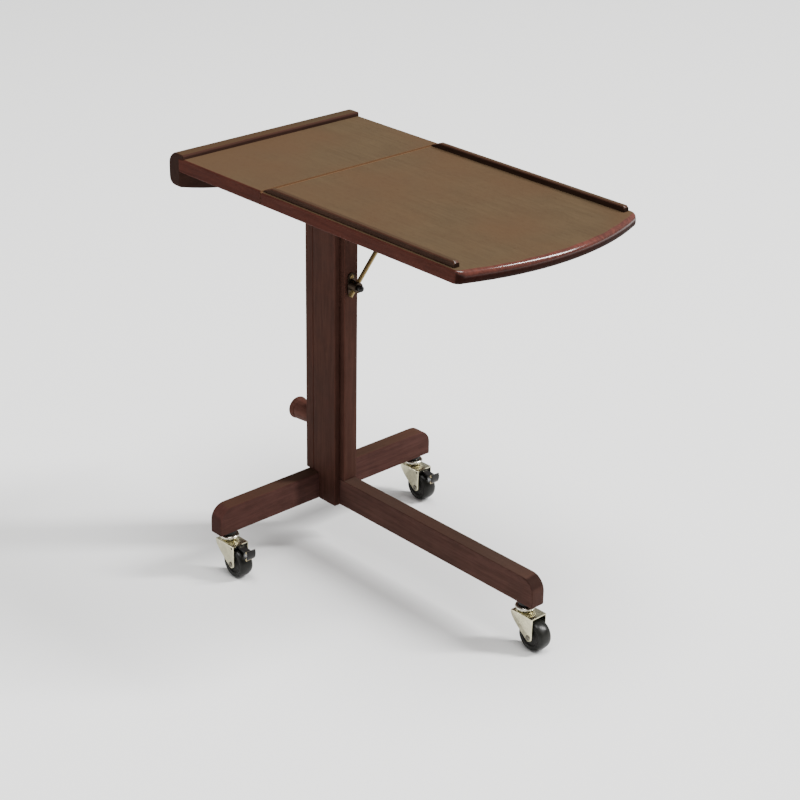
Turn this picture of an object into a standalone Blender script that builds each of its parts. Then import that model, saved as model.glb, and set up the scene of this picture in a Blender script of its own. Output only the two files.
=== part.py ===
"""Wooden laptop cart on three casters, with a lifting post and a tilting leaf.

Metres, +Z up. The origin lies on the floor under the middle of the cart.
+X runs from the end rail to the curved end of the leaf, +Y to the far side.
"""
import math

import bmesh
import bpy
from mathutils import Vector

# Gap kept between two pieces that touch
FIT = 0.0003

# Table top
TOP_WIDTH = 0.406
TOP_THICKNESS = 0.0255
TOP_HEIGHT = 0.746
SMALL_PANEL_LENGTH = 0.2261
LEAF_LENGTH = 0.5133
LEAF_STEP = 0.0025
SEAM_GAP = 0.001
LEAF_END_RADIUS = 0.512
LEAF_CORNER_RADIUS = 0.018
SIDE_EDGE_RADIUS = 0.003
NOSE_EDGE_RADIUS = 0.0095

# Ledge strips along the two long sides of the leaf
LEDGE_WIDTH = 0.011
LEDGE_HEIGHT = 0.0103
LEDGE_TOP_RADIUS = 0.003
LEDGE_INSET = 0.006
LEDGE_LENGTH = 0.4553
LEDGE_RAMP_LENGTH = 0.020
LEDGE_END_BEVEL = 0.003
LEDGE_GROOVE_DEPTH = 0.001

# End rail
RAIL_THICKNESS = 0.029
RAIL_LIP = 0.014
RAIL_REBATE = 0.001
RAIL_RISE = 0.008
RAIL_END_DEPTH = 0.061
RAIL_BELLY = 0.029
RAIL_TOP_RADIUS = 0.024
RAIL_FOOT_RADIUS = 0.014
RAIL_LIP_RADIUS = 0.004
RAIL_END_ROUND = 0.003
DOWEL_DIAMETER = 0.008
DOWEL_LENGTH = 0.036
DOWEL_SPACING = 0.280

# Post and the column that it slides in
STOCK_WIDTH = 0.0292
POST_DEPTH = 0.0721
POST_TO_LEAF = 0.004
PLATE_THICKNESS = 0.012
PLATE_DEPTH = 0.0605
BACK_THICKNESS = 0.0205
COLUMN_CLEARANCE = 0.035
SLOT_TOP_MARGIN = 0.0528
WOOD_EDGE = 0.002
PLATE_EDGE = 0.0015

# Height bolt, guide bolt and knob
BOLT_DIAMETER = 0.008
SLOT_CLEARANCE = 0.0005
KNOB_ABOVE_FOOT = 0.0945
GUIDE_SPACING = 0.120
BOLT_REACH = 0.024
INSERT_DIAMETER = 0.011
INSERT_LENGTH = 0.016
WASHER_DIAMETER = 0.026
WASHER_THICKNESS = 0.002
GUIDE_HEAD_DIAMETER = 0.020
GUIDE_HEAD_HEIGHT = 0.004
KNOB_DIAMETER = 0.043
KNOB_LENGTH = 0.0615
KNOB_NECK_DIAMETER = 0.033
KNOB_SHOULDER_DIAMETER = 0.040
KNOB_GROOVE_DEPTH = 0.0025
KNOB_CAP_LENGTH = 0.018
KNOB_DOME_HEIGHT = 0.009
KNOB_BORE_DEPTH = 0.030

# Feet
FOOT_HEIGHT = 0.053
CROSS_FOOT_LENGTH = 0.516
FRONT_FOOT_LENGTH = 0.543
FOOT_END_RADIUS = 0.028
FOOT_BOLT_DIAMETER = 0.006
FOOT_BOLT_HEAD_DIAMETER = 0.012
FOOT_BOLT_HEAD_HEIGHT = 0.004
FOOT_BOLT_REACH = 0.042
BARREL_NUT_DIAMETER = 0.011
BARREL_NUT_INSET = 0.036

# Casters
WHEEL_DIAMETER = 0.057
WHEEL_WIDTH = 0.0265
TYRE_DEPTH = 0.0085
TYRE_SHOULDER = 0.0035
HUB_FACE_RECESS = 0.003
HUB_SIDE_CLEARANCE = 0.001
WHEEL_SIDE_CLEARANCE = 0.00275
CASTER_TRAIL = 0.0255
FORK_SHEET = 0.002
FORK_NOSE = 0.0155
FORK_HEEL = 0.0075
FORK_EYE_RADIUS = 0.008
FORK_SHOULDER = 0.008
FORK_EDGE = 0.0018
BRIDGE_ABOVE_WHEEL = 0.010
RACE_DIAMETER = 0.037
RACE_HEIGHT = 0.010
STEM_DIAMETER = 0.008
STEM_LENGTH = 0.036
KING_PIN_DIAMETER = 0.008
KING_PIN_HEAD_DIAMETER = 0.014
KING_PIN_HEAD_HEIGHT = 0.003
SOCKET_COLLAR_DIAMETER = 0.026
SOCKET_COLLAR_HEIGHT = 0.0065
SOCKET_SLEEVE_DIAMETER = 0.012
AXLE_DIAMETER = 0.006
AXLE_HEAD_DIAMETER = 0.010
AXLE_HEAD_HEIGHT = 0.0015
FRONT_CASTER_INSET = 0.0285
CROSS_CASTER_INSET = 0.0295

# Brake pedals on the two casters of the cross foot
PEDAL_PIVOT_SETBACK = 0.004
PEDAL_PIVOT_RADIUS = 0.0017
PEDAL_HUB_RADIUS = 0.0026
PEDAL_ARM_WIDTH = 0.012
PEDAL_THICKNESS = 0.003
PEDAL_TOE_WIDTH = 0.018
PEDAL_TOE_REACH = 0.0185
PEDAL_TOE_DROP = 0.003
PEDAL_TOE_RADIUS = 0.018
PEDAL_TOE_UP_DEG = 26.0
PEDAL_TOE_DOWN_DEG = 45.0
PEDAL_TRAVEL_DEG = 10.0
PEDAL_SHOE_GAP = 0.0005
PEDAL_SHOE_WIDTH = 0.008

# Tilt axis: a tube under the leaf, held in the head of the post
TUBE_DIAMETER = 0.019
TUBE_WALL = 0.002
TUBE_DROP = 0.018
TUBE_REACH = 0.365
TUBE_SEAT = 0.058
LOCK_PIN_DIAMETER = 0.005
LOCK_PIN_SETBACK = 0.036
CAP_FLANGE_DIAMETER = 0.025
CAP_FLANGE_HEIGHT = 0.003
CAP_PLUG_LENGTH = 0.012
BLOCK_LENGTH = 0.040
BLOCK_WIDTH = 0.060
BLOCK_WALL = 0.008
BLOCK_FLARE_DEG = 20.0
BLOCK_END_PLAY = 0.001
INNER_BLOCK_SETBACK = 0.036
CLEAT_LENGTH = 0.180
CLEAT_WIDTH = 0.024
CLEAT_HEIGHT = 0.026
CLEAT_TAPER = 0.040

# Stay that holds the tilted leaf
ROD_DIAMETER = 0.009
ROD_TO_POST = 0.0133
ROD_TAIL = 0.020
ROD_PLAY = 0.0012
ROD_EYE_DIAMETER = 0.014
STAY_OFFSET = 0.156
STAY_DROP = 0.014
STAY_PIN_DIAMETER = 0.004
STAY_PIN_HEAD_DIAMETER = 0.008
STAY_PIN_HEAD_HEIGHT = 0.0015
BRACKET_SHEET = 0.0025
BRACKET_WIDTH = 0.024
BRACKET_FLANGE = 0.026
CLAMP_DROP = 0.2206
CLAMP_PLATE_WIDTH = 0.016
CLAMP_PLATE_LENGTH = 0.046
CLAMP_PLATE_SHEET = 0.0025
CLAMP_SCREW_SPACING = 0.032
CLAMP_SCREW_DIAMETER = 0.004
CLAMP_SCREW_HEAD_DIAMETER = 0.008
CLAMP_SCREW_HEAD_HEIGHT = 0.0018
CLAMP_SCREW_LENGTH = 0.018
SWIVEL_DIAMETER = 0.008
SWIVEL_LENGTH = 0.016
CLAMP_BLOCK_DIAMETER = 0.0195
CLAMP_BLOCK_FACE = 0.0022
TILT_KNOB_DIAMETER = 0.0125
TILT_KNOB_NECK_DIAMETER = 0.0085
TILT_SCREW_DIAMETER = 0.005

# Facets round one turn, and in one quarter of a rounded edge
FINE_FACETS = 24
COARSE_FACETS = 12
QUARTER_STEPS = 4
TYRE_STEPS = 2
ARC_STEPS = 16
# Corners sharper than these are shaded as edges, and are bevelled
SHARP_EDGE_DEG = 35
BEVEL_EDGE_DEG = 50

# Stations along X, from the end rail to the curved end
OVERALL_LENGTH = RAIL_THICKNESS + FIT + SMALL_PANEL_LENGTH + SEAM_GAP + LEAF_LENGTH
RAIL_BACK = -OVERALL_LENGTH / 2
RAIL_FRONT = RAIL_BACK + RAIL_THICKNESS
PANEL_START = RAIL_FRONT + FIT
PANEL_END = PANEL_START + SMALL_PANEL_LENGTH
LEAF_START = PANEL_END + SEAM_GAP
LEAF_END = LEAF_START + LEAF_LENGTH
POST_FRONT = LEAF_START - POST_TO_LEAF
POST_BACK = POST_FRONT - POST_DEPTH
CHANNEL_BACK = POST_BACK - FIT
PLATE_FRONT = CHANNEL_BACK + PLATE_DEPTH
BACK_FRONT = CHANNEL_BACK - FIT
BACK_REAR = BACK_FRONT - BACK_THICKNESS
CROSS_X = CHANNEL_BACK
CROSS_REAR = CROSS_X - STOCK_WIDTH / 2
FOOT_START = CROSS_X + STOCK_WIDTH / 2 + FIT
FOOT_END = FOOT_START + FRONT_FOOT_LENGTH
TUBE_END = POST_FRONT + TUBE_REACH
ROD_X = POST_FRONT + ROD_TO_POST

# Stations along Y, measured from the middle
TOP_SIDE = TOP_WIDTH / 2
POST_SIDE = STOCK_WIDTH / 2
PLATE_INNER = POST_SIDE + FIT
PLATE_OUTER = PLATE_INNER + PLATE_THICKNESS
CROSS_END = CROSS_FOOT_LENGTH / 2

# Levels
AXLE_Z = WHEEL_DIAMETER / 2
BRIDGE_TOP = WHEEL_DIAMETER + BRIDGE_ABOVE_WHEEL
RACE_BOTTOM = BRIDGE_TOP + FIT
RACE_TOP = RACE_BOTTOM + RACE_HEIGHT
COLLAR_BOTTOM = RACE_TOP + FIT
FOOT_BOTTOM = COLLAR_BOTTOM + SOCKET_COLLAR_HEIGHT + FIT
FOOT_TOP = FOOT_BOTTOM + FOOT_HEIGHT
TOP_UNDERSIDE = TOP_HEIGHT - TOP_THICKNESS
LEAF_TOP = TOP_HEIGHT - LEAF_STEP
POST_TOP = TOP_UNDERSIDE - FIT
COLUMN_TOP = POST_TOP - CLEAT_HEIGHT - COLUMN_CLEARANCE
POST_BOTTOM = FOOT_TOP + FIT
KNOB_Z = FOOT_TOP + KNOB_ABOVE_FOOT
GUIDE_Z = KNOB_Z + GUIDE_SPACING
TILT_Z = TOP_UNDERSIDE - TUBE_DROP
STAY_Z = TOP_UNDERSIDE - STAY_DROP
CLAMP_Z = TOP_HEIGHT - CLAMP_DROP


def linear(red, green, blue):
    """Scene-linear colour of an sRGB triple from 0 to 255."""
    channels = [value / 255 for value in (red, green, blue)]
    return [c / 12.92 if c <= 0.04045 else ((c + 0.055) / 1.055) ** 2.4 for c in channels] + [1.0]


def material(name, colour, roughness, metallic=0.0):
    made = bpy.data.materials.new(name)
    made.use_nodes = True
    shader = made.node_tree.nodes["Principled BSDF"]
    shader.inputs["Base Color"].default_value = colour
    shader.inputs["Roughness"].default_value = roughness
    shader.inputs["Metallic"].default_value = metallic
    made.diffuse_color = colour
    return made


def arc(centre, radius, start_deg, end_deg, steps):
    """Points along a circular arc, both ends included."""
    points = []
    for step in range(steps + 1):
        angle = math.radians(start_deg + (end_deg - start_deg) * step / steps)
        points.append((centre[0] + radius * math.cos(angle), centre[1] + radius * math.sin(angle)))
    return points


def rectangle(low_a, low_b, high_a, high_b):
    return [(low_a, low_b), (high_a, low_b), (high_a, high_b), (low_a, high_b)]


def stadium(centre_a, low_b, high_b, radius, steps=8):
    """A slot outline whose straight sides run along its second axis."""
    top = arc((centre_a, high_b - radius), radius, 0, 180, steps)
    bottom = arc((centre_a, low_b + radius), radius, 180, 360, steps)
    return top + bottom


def in_plane(plane, a, b, level):
    """The point whose two coordinates in a plane are a and b."""
    if plane == "XY":
        return Vector((a, b, level))
    if plane == "XZ":
        return Vector((a, level, b))
    return Vector((level, a, b))


def prism(outline, plane, low, high):
    """Extrude a closed outline from one level of its normal axis to another."""
    mesh = bmesh.new()
    base = mesh.faces.new([mesh.verts.new(in_plane(plane, a, b, low)) for a, b in outline])
    grown = bmesh.ops.extrude_face_region(mesh, geom=[base])
    raised = [item for item in grown["geom"] if isinstance(item, bmesh.types.BMVert)]
    bmesh.ops.translate(mesh, verts=raised, vec=in_plane(plane, 0, 0, high - low))
    bmesh.ops.recalc_face_normals(mesh, faces=mesh.faces)
    return mesh


def loft(sections):
    """Skin a row of rings that have the same number of points, and close both ends."""
    mesh = bmesh.new()
    rings = [[mesh.verts.new(point) for point in section] for section in sections]
    count = len(rings[0])
    for lower, upper in zip(rings, rings[1:]):
        for here in range(count):
            after = (here + 1) % count
            mesh.faces.new((lower[here], lower[after], upper[after], upper[here]))
    mesh.faces.new(list(reversed(rings[0])))
    mesh.faces.new(rings[-1])
    bmesh.ops.recalc_face_normals(mesh, faces=mesh.faces)
    return mesh


AXES = {"X": Vector((1, 0, 0)), "Y": Vector((0, 1, 0)), "Z": Vector((0, 0, 1))}
RADIAL = {"X": Vector((0, 0, -1)), "Y": Vector((0, 0, -1)), "Z": Vector((1, 0, 0))}


def turned(profile, axis, centre, facets=FINE_FACETS, ring=False):
    """Spin a profile of (radius, distance along the axis) points about an axis through a centre."""
    mesh = bmesh.new()
    centre = Vector(centre)
    along = AXES[axis]
    out = RADIAL[axis]
    verts = [mesh.verts.new(centre + out * radius + along * distance) for radius, distance in profile]
    pairs = list(zip(verts, verts[1:]))
    if ring:
        pairs.append((verts[-1], verts[0]))
    edges = [mesh.edges.new(pair) for pair in pairs]
    bmesh.ops.spin(mesh, geom=verts + edges, cent=centre, axis=along, angle=math.tau,
                   steps=facets, use_merge=True)
    bmesh.ops.remove_doubles(mesh, verts=mesh.verts, dist=1e-6)
    bmesh.ops.recalc_face_normals(mesh, faces=mesh.faces)
    return mesh


def rod_between(start, end, diameter, facets=COARSE_FACETS):
    """A plain round bar from one point to another, in any direction."""
    start = Vector(start)
    end = Vector(end)
    along = (end - start).normalized()
    mesh = turned([(0, 0), (diameter / 2, 0), (diameter / 2, (end - start).length),
                   (0, (end - start).length)], "Z", (0, 0, 0), facets)
    turn = AXES["Z"].rotation_difference(along).to_matrix()
    bmesh.ops.rotate(mesh, cent=(0, 0, 0), matrix=turn, verts=mesh.verts)
    bmesh.ops.translate(mesh, verts=mesh.verts, vec=start)
    return mesh


def body(name, origin, parent=None):
    """An empty on a joint's axis that carries the pieces moving about it."""
    carrier = bpy.data.objects.new(name, None)
    bpy.context.collection.objects.link(carrier)
    carrier["origin"] = tuple(origin)
    if parent:
        carrier.parent = parent
        carrier.location = Vector(origin) - Vector(parent["origin"])
    else:
        carrier.location = origin
    return carrier


def attach(name, mesh, carrier):
    """Turn a mesh drawn in world coordinates into an object on its carrier."""
    bmesh.ops.translate(mesh, verts=mesh.verts, vec=-Vector(carrier["origin"]))
    data = bpy.data.meshes.new(name)
    mesh.to_mesh(data)
    mesh.free()
    made = bpy.data.objects.new(name, data)
    made.parent = carrier
    bpy.context.collection.objects.link(made)
    return made


def piece(name, mesh, finish, carrier, edge=0.0):
    made = attach(name, mesh, carrier)
    made.data.materials.append(finish)
    made.data.shade_smooth()
    made.data.set_sharp_from_angle(angle=math.radians(SHARP_EDGE_DEG))
    if edge:
        bevel = made.modifiers.new("rounded edges", "BEVEL")
        bevel.width = edge
        bevel.segments = 2
        bevel.limit_method = "ANGLE"
        bevel.angle_limit = math.radians(BEVEL_EDGE_DEG)
    return made


def combine(target, mesh, operation):
    """Cut a mesh out of a piece, or weld it on, with a Boolean that stays live."""
    tool = attach(target.name + " " + operation.lower(), mesh, target.parent)
    tool.hide_render = True
    tool.display_type = "WIRE"
    step = target.modifiers.new(operation.lower(), "BOOLEAN")
    step.operation = operation
    step.object = tool
    step.solver = "EXACT"


def cut(target, mesh):
    combine(target, mesh, "DIFFERENCE")


def weld(target, mesh):
    combine(target, mesh, "UNION")


def bore(target, axis, centre, diameter, start, end, facets=COARSE_FACETS):
    """Drill a round hole along an axis between two distances from a centre."""
    radius = diameter / 2
    cut(target, turned([(0, start), (radius, start), (radius, end), (0, end)], axis, centre, facets))


def foot_outline(start, end, low, high, round_start):
    """A bar seen from the side, with the upper corners of its free ends rounded."""
    radius = min(FOOT_END_RADIUS, high - low)
    outline = [(start, low), (end, low)]
    outline += arc((end - radius, high - radius), radius, 0, 90, 2 * QUARTER_STEPS)
    if round_start:
        outline += arc((start + radius, high - radius), radius, 90, 180, 2 * QUARTER_STEPS)
    else:
        outline.append((start, high))
    return outline


def make_base(wood, steel, carrier):
    """The T of two feet, and the three boards of the column that stands on it."""
    bolt_z = (FOOT_BOTTOM + FOOT_TOP) / 2
    bolt_hole = FOOT_BOLT_DIAMETER + 2 * FIT
    counterbore = FOOT_BOLT_HEAD_DIAMETER + 2 * FIT
    nut_x = FOOT_START + BARREL_NUT_INSET

    outline = foot_outline(-CROSS_END, CROSS_END, FOOT_BOTTOM, FOOT_TOP, True)
    cross = piece("cross_foot", prism(outline, "YZ", CROSS_REAR, CROSS_X + STOCK_WIDTH / 2),
                  wood, carrier, WOOD_EDGE)
    bore(cross, "X", (CROSS_REAR, 0, bolt_z), counterbore, -FIT, FOOT_BOLT_HEAD_HEIGHT + FIT)
    bore(cross, "X", (CROSS_REAR, 0, bolt_z), bolt_hole, 0, STOCK_WIDTH + FIT)

    outline = foot_outline(FOOT_START, FOOT_END, FOOT_BOTTOM, FOOT_TOP, False)
    front = piece("front_foot", prism(outline, "XZ", -POST_SIDE, POST_SIDE), wood, carrier, WOOD_EDGE)
    bore(front, "X", (FOOT_START, 0, bolt_z), bolt_hole, -FIT, FOOT_BOLT_REACH + FIT)
    bore(front, "Z", (nut_x, 0, FOOT_BOTTOM), BARREL_NUT_DIAMETER + 2 * FIT,
         -FIT, bolt_z + FOOT_BOLT_DIAMETER - FOOT_BOTTOM + FIT)

    head = FOOT_BOLT_HEAD_DIAMETER / 2
    shank = FOOT_BOLT_DIAMETER / 2
    bolt_end = FOOT_START + FOOT_BOLT_REACH - CROSS_REAR
    piece("foot_bolt", turned([(0, 0), (head, 0), (head, FOOT_BOLT_HEAD_HEIGHT),
                               (shank, FOOT_BOLT_HEAD_HEIGHT), (shank, bolt_end), (0, bolt_end)],
                              "X", (CROSS_REAR, 0, bolt_z), COARSE_FACETS), steel, carrier)
    nut_radius = BARREL_NUT_DIAMETER / 2
    nut_length = bolt_z + FOOT_BOLT_DIAMETER - FOOT_BOTTOM
    nut = piece("barrel_nut", turned([(0, 0), (nut_radius, 0), (nut_radius, nut_length), (0, nut_length)],
                                     "Z", (nut_x, 0, FOOT_BOTTOM), COARSE_FACETS), steel, carrier)
    bore(nut, "X", (nut_x, 0, bolt_z), bolt_hole, -BARREL_NUT_DIAMETER, BARREL_NUT_DIAMETER)

    sill = FOOT_TOP + FIT
    plate = [(FOOT_START, FOOT_BOTTOM), (PLATE_FRONT, FOOT_BOTTOM), (PLATE_FRONT, COLUMN_TOP),
             (CHANNEL_BACK, COLUMN_TOP), (CHANNEL_BACK, sill), (FOOT_START, sill)]
    piece("side_plate_near", prism(plate, "XZ", -PLATE_OUTER, -PLATE_INNER), wood, carrier, PLATE_EDGE)
    piece("side_plate_far", prism(plate, "XZ", PLATE_INNER, PLATE_OUTER), wood, carrier, PLATE_EDGE)

    board = rectangle(-PLATE_OUTER, sill, PLATE_OUTER, COLUMN_TOP)
    back = piece("back_board", prism(board, "YZ", BACK_REAR, BACK_FRONT), wood, carrier, PLATE_EDGE)
    slot_radius = BOLT_DIAMETER / 2 + SLOT_CLEARANCE
    slot = stadium(0, KNOB_Z - slot_radius, COLUMN_TOP - SLOT_TOP_MARGIN, slot_radius)
    cut(back, prism(slot, "YZ", BACK_REAR - FIT, BACK_FRONT + FIT))
    return cross, front


def make_caster(name, x, y, foot, braked, finishes, base):
    """A swivel caster that trails towards +X, with its socket in the foot above it."""
    socket_bore = SOCKET_SLEEVE_DIAMETER + 2 * FIT
    stem_top = RACE_TOP + STEM_LENGTH
    sleeve_top = stem_top + FIT
    bore(foot, "Z", (x, y, FOOT_BOTTOM), socket_bore, -FIT, sleeve_top + FIT - FOOT_BOTTOM)

    collar = SOCKET_COLLAR_DIAMETER / 2
    sleeve = SOCKET_SLEEVE_DIAMETER / 2
    inner = STEM_DIAMETER / 2 + FIT
    shoulder = FOOT_BOTTOM - FIT
    piece("caster_socket_" + name,
          turned([(inner, COLLAR_BOTTOM), (collar - FORK_EDGE, COLLAR_BOTTOM), (collar, COLLAR_BOTTOM + FORK_EDGE),
                  (collar, shoulder), (sleeve, shoulder), (sleeve, sleeve_top), (inner, sleeve_top)],
                 "Z", (x, y, 0), COARSE_FACETS, ring=True), finishes["black"], base)

    race = RACE_DIAMETER / 2
    stem = STEM_DIAMETER / 2
    pin = KING_PIN_DIAMETER / 2
    head = KING_PIN_HEAD_DIAMETER / 2
    bridge_under = BRIDGE_TOP - FORK_SHEET
    head_top = bridge_under - FIT
    rim = RACE_HEIGHT / 3
    piece("caster_stem_" + name,
          turned([(0, stem_top), (stem, stem_top), (stem, RACE_TOP), (race - rim / 2, RACE_TOP),
                  (race, RACE_TOP - rim / 2), (race, RACE_TOP - rim), (race - rim, RACE_TOP - 2 * rim),
                  (race - 2 * rim, RACE_BOTTOM), (pin, RACE_BOTTOM), (pin, head_top), (head, head_top),
                  (head, head_top - KING_PIN_HEAD_HEIGHT / 2), (head / 2, head_top - KING_PIN_HEAD_HEIGHT),
                  (0, head_top - KING_PIN_HEAD_HEIGHT)], "Z", (x, y, 0), FINE_FACETS),
          finishes["zinc"], base)

    swivel = body("swivel_" + name, (x, y, BRIDGE_TOP), base)
    axle_x = x + CASTER_TRAIL
    heel_x = axle_x + FORK_HEEL
    inner_y = WHEEL_WIDTH / 2 + WHEEL_SIDE_CLEARANCE
    outer_y = inner_y + FORK_SHEET
    eye = FORK_EYE_RADIUS
    shoulder_z = BRIDGE_TOP - FORK_SHOULDER
    slope = math.degrees(math.atan2(shoulder_z - AXLE_Z, axle_x - x + FORK_NOSE))
    cheek = [(x - FORK_NOSE, shoulder_z)]
    cheek += arc((axle_x, AXLE_Z), eye, -90 - slope, 0, 2 * QUARTER_STEPS)
    cheek += [(heel_x, BRIDGE_TOP), (x - FORK_NOSE, BRIDGE_TOP)]
    fork = piece("caster_fork_" + name, prism(cheek, "XZ", y - outer_y, y + outer_y),
                 finishes["zinc"], swivel, FORK_EDGE)
    well = rectangle(x - FORK_NOSE - eye, y - inner_y, heel_x + eye, y + inner_y)
    cut(fork, prism(well, "XY", AXLE_Z - 2 * eye, bridge_under))
    bore(fork, "Z", (x, y, BRIDGE_TOP), KING_PIN_DIAMETER + 2 * FIT, -2 * FORK_SHEET, FORK_SHEET)
    bore(fork, "Y", (axle_x, y, AXLE_Z), AXLE_DIAMETER + 2 * FIT, -2 * outer_y, 2 * outer_y)

    axle = AXLE_DIAMETER / 2
    cap = AXLE_HEAD_DIAMETER / 2
    seat = outer_y + FIT
    tip = seat + AXLE_HEAD_HEIGHT
    piece("caster_axle_" + name,
          turned([(0, -tip), (cap / 2, -tip), (cap, -seat), (axle, -seat), (axle, seat), (cap, seat),
                  (cap / 2, tip), (0, tip)], "Y", (axle_x, y, AXLE_Z), COARSE_FACETS),
          finishes["steel"], swivel)

    wheel = body("wheel_" + name, (axle_x, y, AXLE_Z), swivel)
    make_wheel(name, (axle_x, y, AXLE_Z), inner_y, finishes, wheel)
    if braked:
        make_pedal(name, fork, (heel_x, y), inner_y, outer_y, finishes, swivel)


def make_wheel(name, centre, fork_inner, finishes, carrier):
    """A hub with recessed faces, and a tyre with rounded shoulders."""
    half = WHEEL_WIDTH / 2
    tread = WHEEL_DIAMETER / 2
    seat = tread - TYRE_DEPTH
    hub = seat - FIT
    boss_half = fork_inner - HUB_SIDE_CLEARANCE
    hole = AXLE_DIAMETER / 2 + FIT
    boss = AXLE_HEAD_DIAMETER / 2 + FIT
    web = half - HUB_FACE_RECESS
    piece("wheel_hub_" + name,
          turned([(hole, -boss_half), (boss, -boss_half), (boss + HUB_FACE_RECESS, -web),
                  (hub - HUB_FACE_RECESS, -web), (hub - HUB_FACE_RECESS / 2, -half), (hub, -half),
                  (hub, half), (hub - HUB_FACE_RECESS / 2, half), (hub - HUB_FACE_RECESS, web),
                  (boss + HUB_FACE_RECESS, web), (boss, boss_half), (hole, boss_half)],
                 "Y", centre, FINE_FACETS, ring=True), finishes["grey"], carrier)
    shoulder = min(TYRE_SHOULDER, TYRE_DEPTH / 2)
    profile = [(seat, -half)]
    profile += [(r, d) for d, r in arc((-half + shoulder, tread - shoulder), shoulder, 180, 90, TYRE_STEPS)]
    profile += [(r, d) for d, r in arc((half - shoulder, tread - shoulder), shoulder, 90, 0, TYRE_STEPS)]
    profile.append((seat, half))
    piece("wheel_tyre_" + name, turned(profile, "Y", centre, FINE_FACETS, ring=True),
          finishes["rubber"], carrier)


def make_pedal(name, fork, heel, fork_inner, fork_outer, finishes, swivel):
    """A foot lever on trunnions in the fork's heel, with a shoe that comes down on the tyre."""
    x = heel[0] - PEDAL_PIVOT_SETBACK
    y = heel[1]
    z = BRIDGE_TOP - FORK_SHEET - FIT - PEDAL_HUB_RADIUS
    bore(fork, "Y", (x, y, z), 2 * (PEDAL_PIVOT_RADIUS + FIT), -2 * fork_outer, 2 * fork_outer)

    brake = body("brake_" + name, (x, y, z), swivel)
    hub_half = fork_inner - FIT
    pedal = piece("brake_pedal_" + name,
                  turned([(0, -fork_outer), (PEDAL_PIVOT_RADIUS, -fork_outer), (PEDAL_PIVOT_RADIUS, -hub_half),
                          (PEDAL_HUB_RADIUS, -hub_half), (PEDAL_HUB_RADIUS, hub_half),
                          (PEDAL_PIVOT_RADIUS, hub_half), (PEDAL_PIVOT_RADIUS, fork_outer), (0, fork_outer)],
                         "Y", (x, y, z), COARSE_FACETS), finishes["black"], brake)

    toe_centre = (x + PEDAL_TOE_REACH, z - PEDAL_TOE_DROP)
    toe_inner = PEDAL_TOE_RADIUS - PEDAL_THICKNESS
    toe = arc(toe_centre, PEDAL_TOE_RADIUS, -PEDAL_TOE_DOWN_DEG, PEDAL_TOE_UP_DEG, 2 * QUARTER_STEPS)
    toe += arc(toe_centre, toe_inner, PEDAL_TOE_UP_DEG, -PEDAL_TOE_DOWN_DEG, 2 * QUARTER_STEPS)
    half = PEDAL_THICKNESS / 2
    arm_end = toe_centre[0] + toe_inner + half
    arm = [(x, z - half), (arm_end, toe_centre[1] - half), (arm_end, toe_centre[1] + half), (x, z + half)]

    travel = math.radians(PEDAL_TRAVEL_DEG)
    axle_x = heel[0] - FORK_HEEL
    contact = math.atan2(z - AXLE_Z, x - axle_x) - travel
    reach = WHEEL_DIAMETER / 2 + PEDAL_SHOE_GAP
    pressed = (axle_x + reach * math.cos(contact) - x, AXLE_Z + reach * math.sin(contact) - z)
    rest = (x + pressed[0] * math.cos(travel) - pressed[1] * math.sin(travel),
            z + pressed[0] * math.sin(travel) + pressed[1] * math.cos(travel))
    shoe = [(x, z), rest, (x + 2 * PEDAL_HUB_RADIUS + PEDAL_THICKNESS, z - half)]
    for outline, width in ((arm, PEDAL_ARM_WIDTH), (toe, PEDAL_TOE_WIDTH), (shoe, PEDAL_SHOE_WIDTH)):
        weld(pedal, prism(outline, "XZ", y - width / 2, y + width / 2))


def slab(outline, low, high):
    """A board from (x, y, outward normal, edge radius) points, its edges rounded above and below."""
    limit = (high - low) / 2 - FIT
    sections = []
    for lower in (True, False):
        for step in range(QUARTER_STEPS + 1):
            share = step / QUARTER_STEPS if lower else 1 - step / QUARTER_STEPS
            angle = math.radians(90 * share)
            ring = []
            for x, y, normal, radius in outline:
                radius = min(radius, limit)
                inset = radius * (1 - math.sin(angle))
                lift = radius * (1 - math.cos(angle))
                z = low + lift if lower else high - lift
                ring.append((x - normal[0] * inset, y - normal[1] * inset, z))
            sections.append(ring)
    return loft(sections)


def leaf_outline():
    """The leaf in plan: straight sides, rounded corners and a bowed free end."""
    centre_x = LEAF_END - LEAF_END_RADIUS
    corner_y = TOP_SIDE - LEAF_CORNER_RADIUS
    corner_x = centre_x + math.sqrt((LEAF_END_RADIUS - LEAF_CORNER_RADIUS) ** 2 - corner_y ** 2)
    sweep = math.degrees(math.atan2(corner_y, corner_x - centre_x))
    outline = [(LEAF_START, -TOP_SIDE, (0, -1), SIDE_EDGE_RADIUS)]
    corners = ((-corner_y, -90, -sweep), (corner_y, sweep, 90))
    for centre_y, start, end in corners:
        for step in range(QUARTER_STEPS + 1):
            share = step / QUARTER_STEPS
            angle = math.radians(start + (end - start) * share)
            blend = share if start < 0 else 1 - share
            normal = (math.cos(angle), math.sin(angle))
            radius = SIDE_EDGE_RADIUS + (NOSE_EDGE_RADIUS - SIDE_EDGE_RADIUS) * blend
            outline.append((corner_x + LEAF_CORNER_RADIUS * normal[0],
                            centre_y + LEAF_CORNER_RADIUS * normal[1], normal, radius))
        if start < 0:
            for x, y in arc((centre_x, 0), LEAF_END_RADIUS, -sweep, sweep, ARC_STEPS)[1:-1]:
                normal = ((x - centre_x) / LEAF_END_RADIUS, y / LEAF_END_RADIUS)
                outline.append((x, y, normal, NOSE_EDGE_RADIUS))
    outline.append((LEAF_START, TOP_SIDE, (0, 1), SIDE_EDGE_RADIUS))
    return outline


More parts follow.
